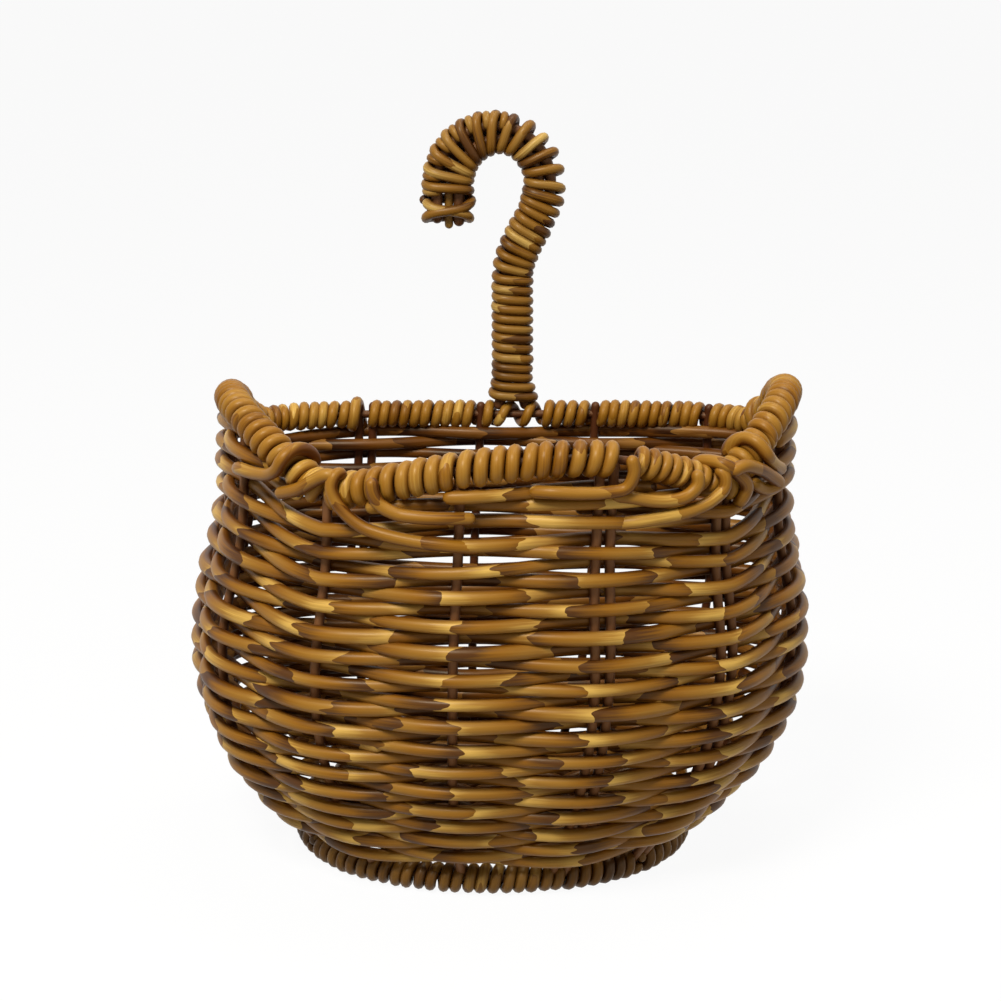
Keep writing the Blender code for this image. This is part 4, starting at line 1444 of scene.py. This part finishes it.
@dataclass
class Studio:
    """A pale floor, a white surround, soft lamps and the camera."""

    lens: float = 80.4
    sensor: float = 36.0
    camera_place: Triple = (0.0003, -1.0543, 0.4898)
    pitch_down: float = 0.277
    world_level: float = 0.11
    floor_half: float = 14.0
    floor_colour: Triple = (0.40, 0.39, 0.37)
    floor_roughness: float = 0.9
    floor_glow: float = 1.12
    floor_glow_share: float = 0.84
    lamps: tuple[Lamp, ...] = (
        Lamp("key", (-0.45, -0.95, 1.45), (0, 0, 0.15), 0.5, 27),
        Lamp("top", (0.25, 0.10, 1.60), (0, 0, 0.1), 0.7, 8),
        Lamp("fill", (1.0, -1.2, 0.6), (0, 0, 0.12), 0.7, 1.5),
    )

    def floor(self) -> None:
        """Lay a white floor that shows almost as plain white and keeps the basket's shadow."""
        mesh = bpy.data.meshes.new("floor")
        half = self.floor_half
        corners = [(-half, -half, 0), (half, -half, 0), (half, half, 0), (-half, half, 0)]
        mesh.from_pydata(corners, [], [(0, 1, 2, 3)])
        floor = bpy.data.objects.new("floor", mesh)
        bpy.context.scene.collection.objects.link(floor)
        paint = bpy.data.materials.new("floor_white")
        paint.use_nodes = True
        nodes = NodeWork(paint.node_tree)
        shader = paint.node_tree.nodes["Principled BSDF"]
        shader.inputs["Base Color"].default_value = (*self.floor_colour, 1)
        shader.inputs["Roughness"].default_value = self.floor_roughness
        shader.inputs["Specular IOR Level"].default_value = 0.0
        glow = nodes.new("ShaderNodeEmission")
        glow.inputs["Strength"].default_value = self.floor_glow
        mix = nodes.new("ShaderNodeMixShader")
        nodes.join(nodes.maths("MULTIPLY", nodes.seen(), self.floor_glow_share), mix.inputs[0])
        nodes.join(shader.outputs[0], mix.inputs[1])
        nodes.join(glow.outputs[0], mix.inputs[2])
        nodes.join(mix.outputs[0], paint.node_tree.nodes["Material Output"].inputs[0])
        mesh.materials.append(paint)

    def world(self) -> None:
        """Make a world that the camera sees as white, and that lights the basket at a lower level."""
        world = bpy.data.worlds.new("studio")
        bpy.context.scene.world = world
        world.use_nodes = True
        nodes = NodeWork(world.node_tree)
        back = world.node_tree.nodes["Background"]
        back.inputs["Color"].default_value = (1, 1, 1, 1)
        level = nodes.new("ShaderNodeMapRange")
        level.inputs["To Min"].default_value = self.world_level
        level.inputs["To Max"].default_value = 1.0
        nodes.join(nodes.seen(), level.inputs[0])
        nodes.join(level.outputs[0], back.inputs["Strength"])

    def build(self) -> None:
        """Set the floor, the world, the lamps and the camera."""
        self.floor()
        self.world()
        for lamp in self.lamps:
            lamp.light()
        data = bpy.data.cameras.new("camera")
        data.lens = self.lens
        data.sensor_width = self.sensor
        camera = bpy.data.objects.new("camera", data)
        bpy.context.scene.collection.objects.link(camera)
        camera.location = self.camera_place
        camera.rotation_euler = (math.pi / 2 - self.pitch_down, 0, 0)
        scene = bpy.context.scene
        scene.camera = camera
        scene.view_settings.view_transform = "Standard"


def main() -> None:
    """Build the basket's pieces in order, and the studio round them."""
    logging.basicConfig(level=logging.INFO, format="%(message)s")
    wall = Wall()
    rim = RimLine(wall)
    Foot(wall).build()
    Base(wall).build()
    Stakes(wall, rim).build()
    Weave(wall, rim).build()
    Rim(wall, rim).build()
    Hook(rim).build()
    Studio().build()


if __name__ == "__main__":
    main()
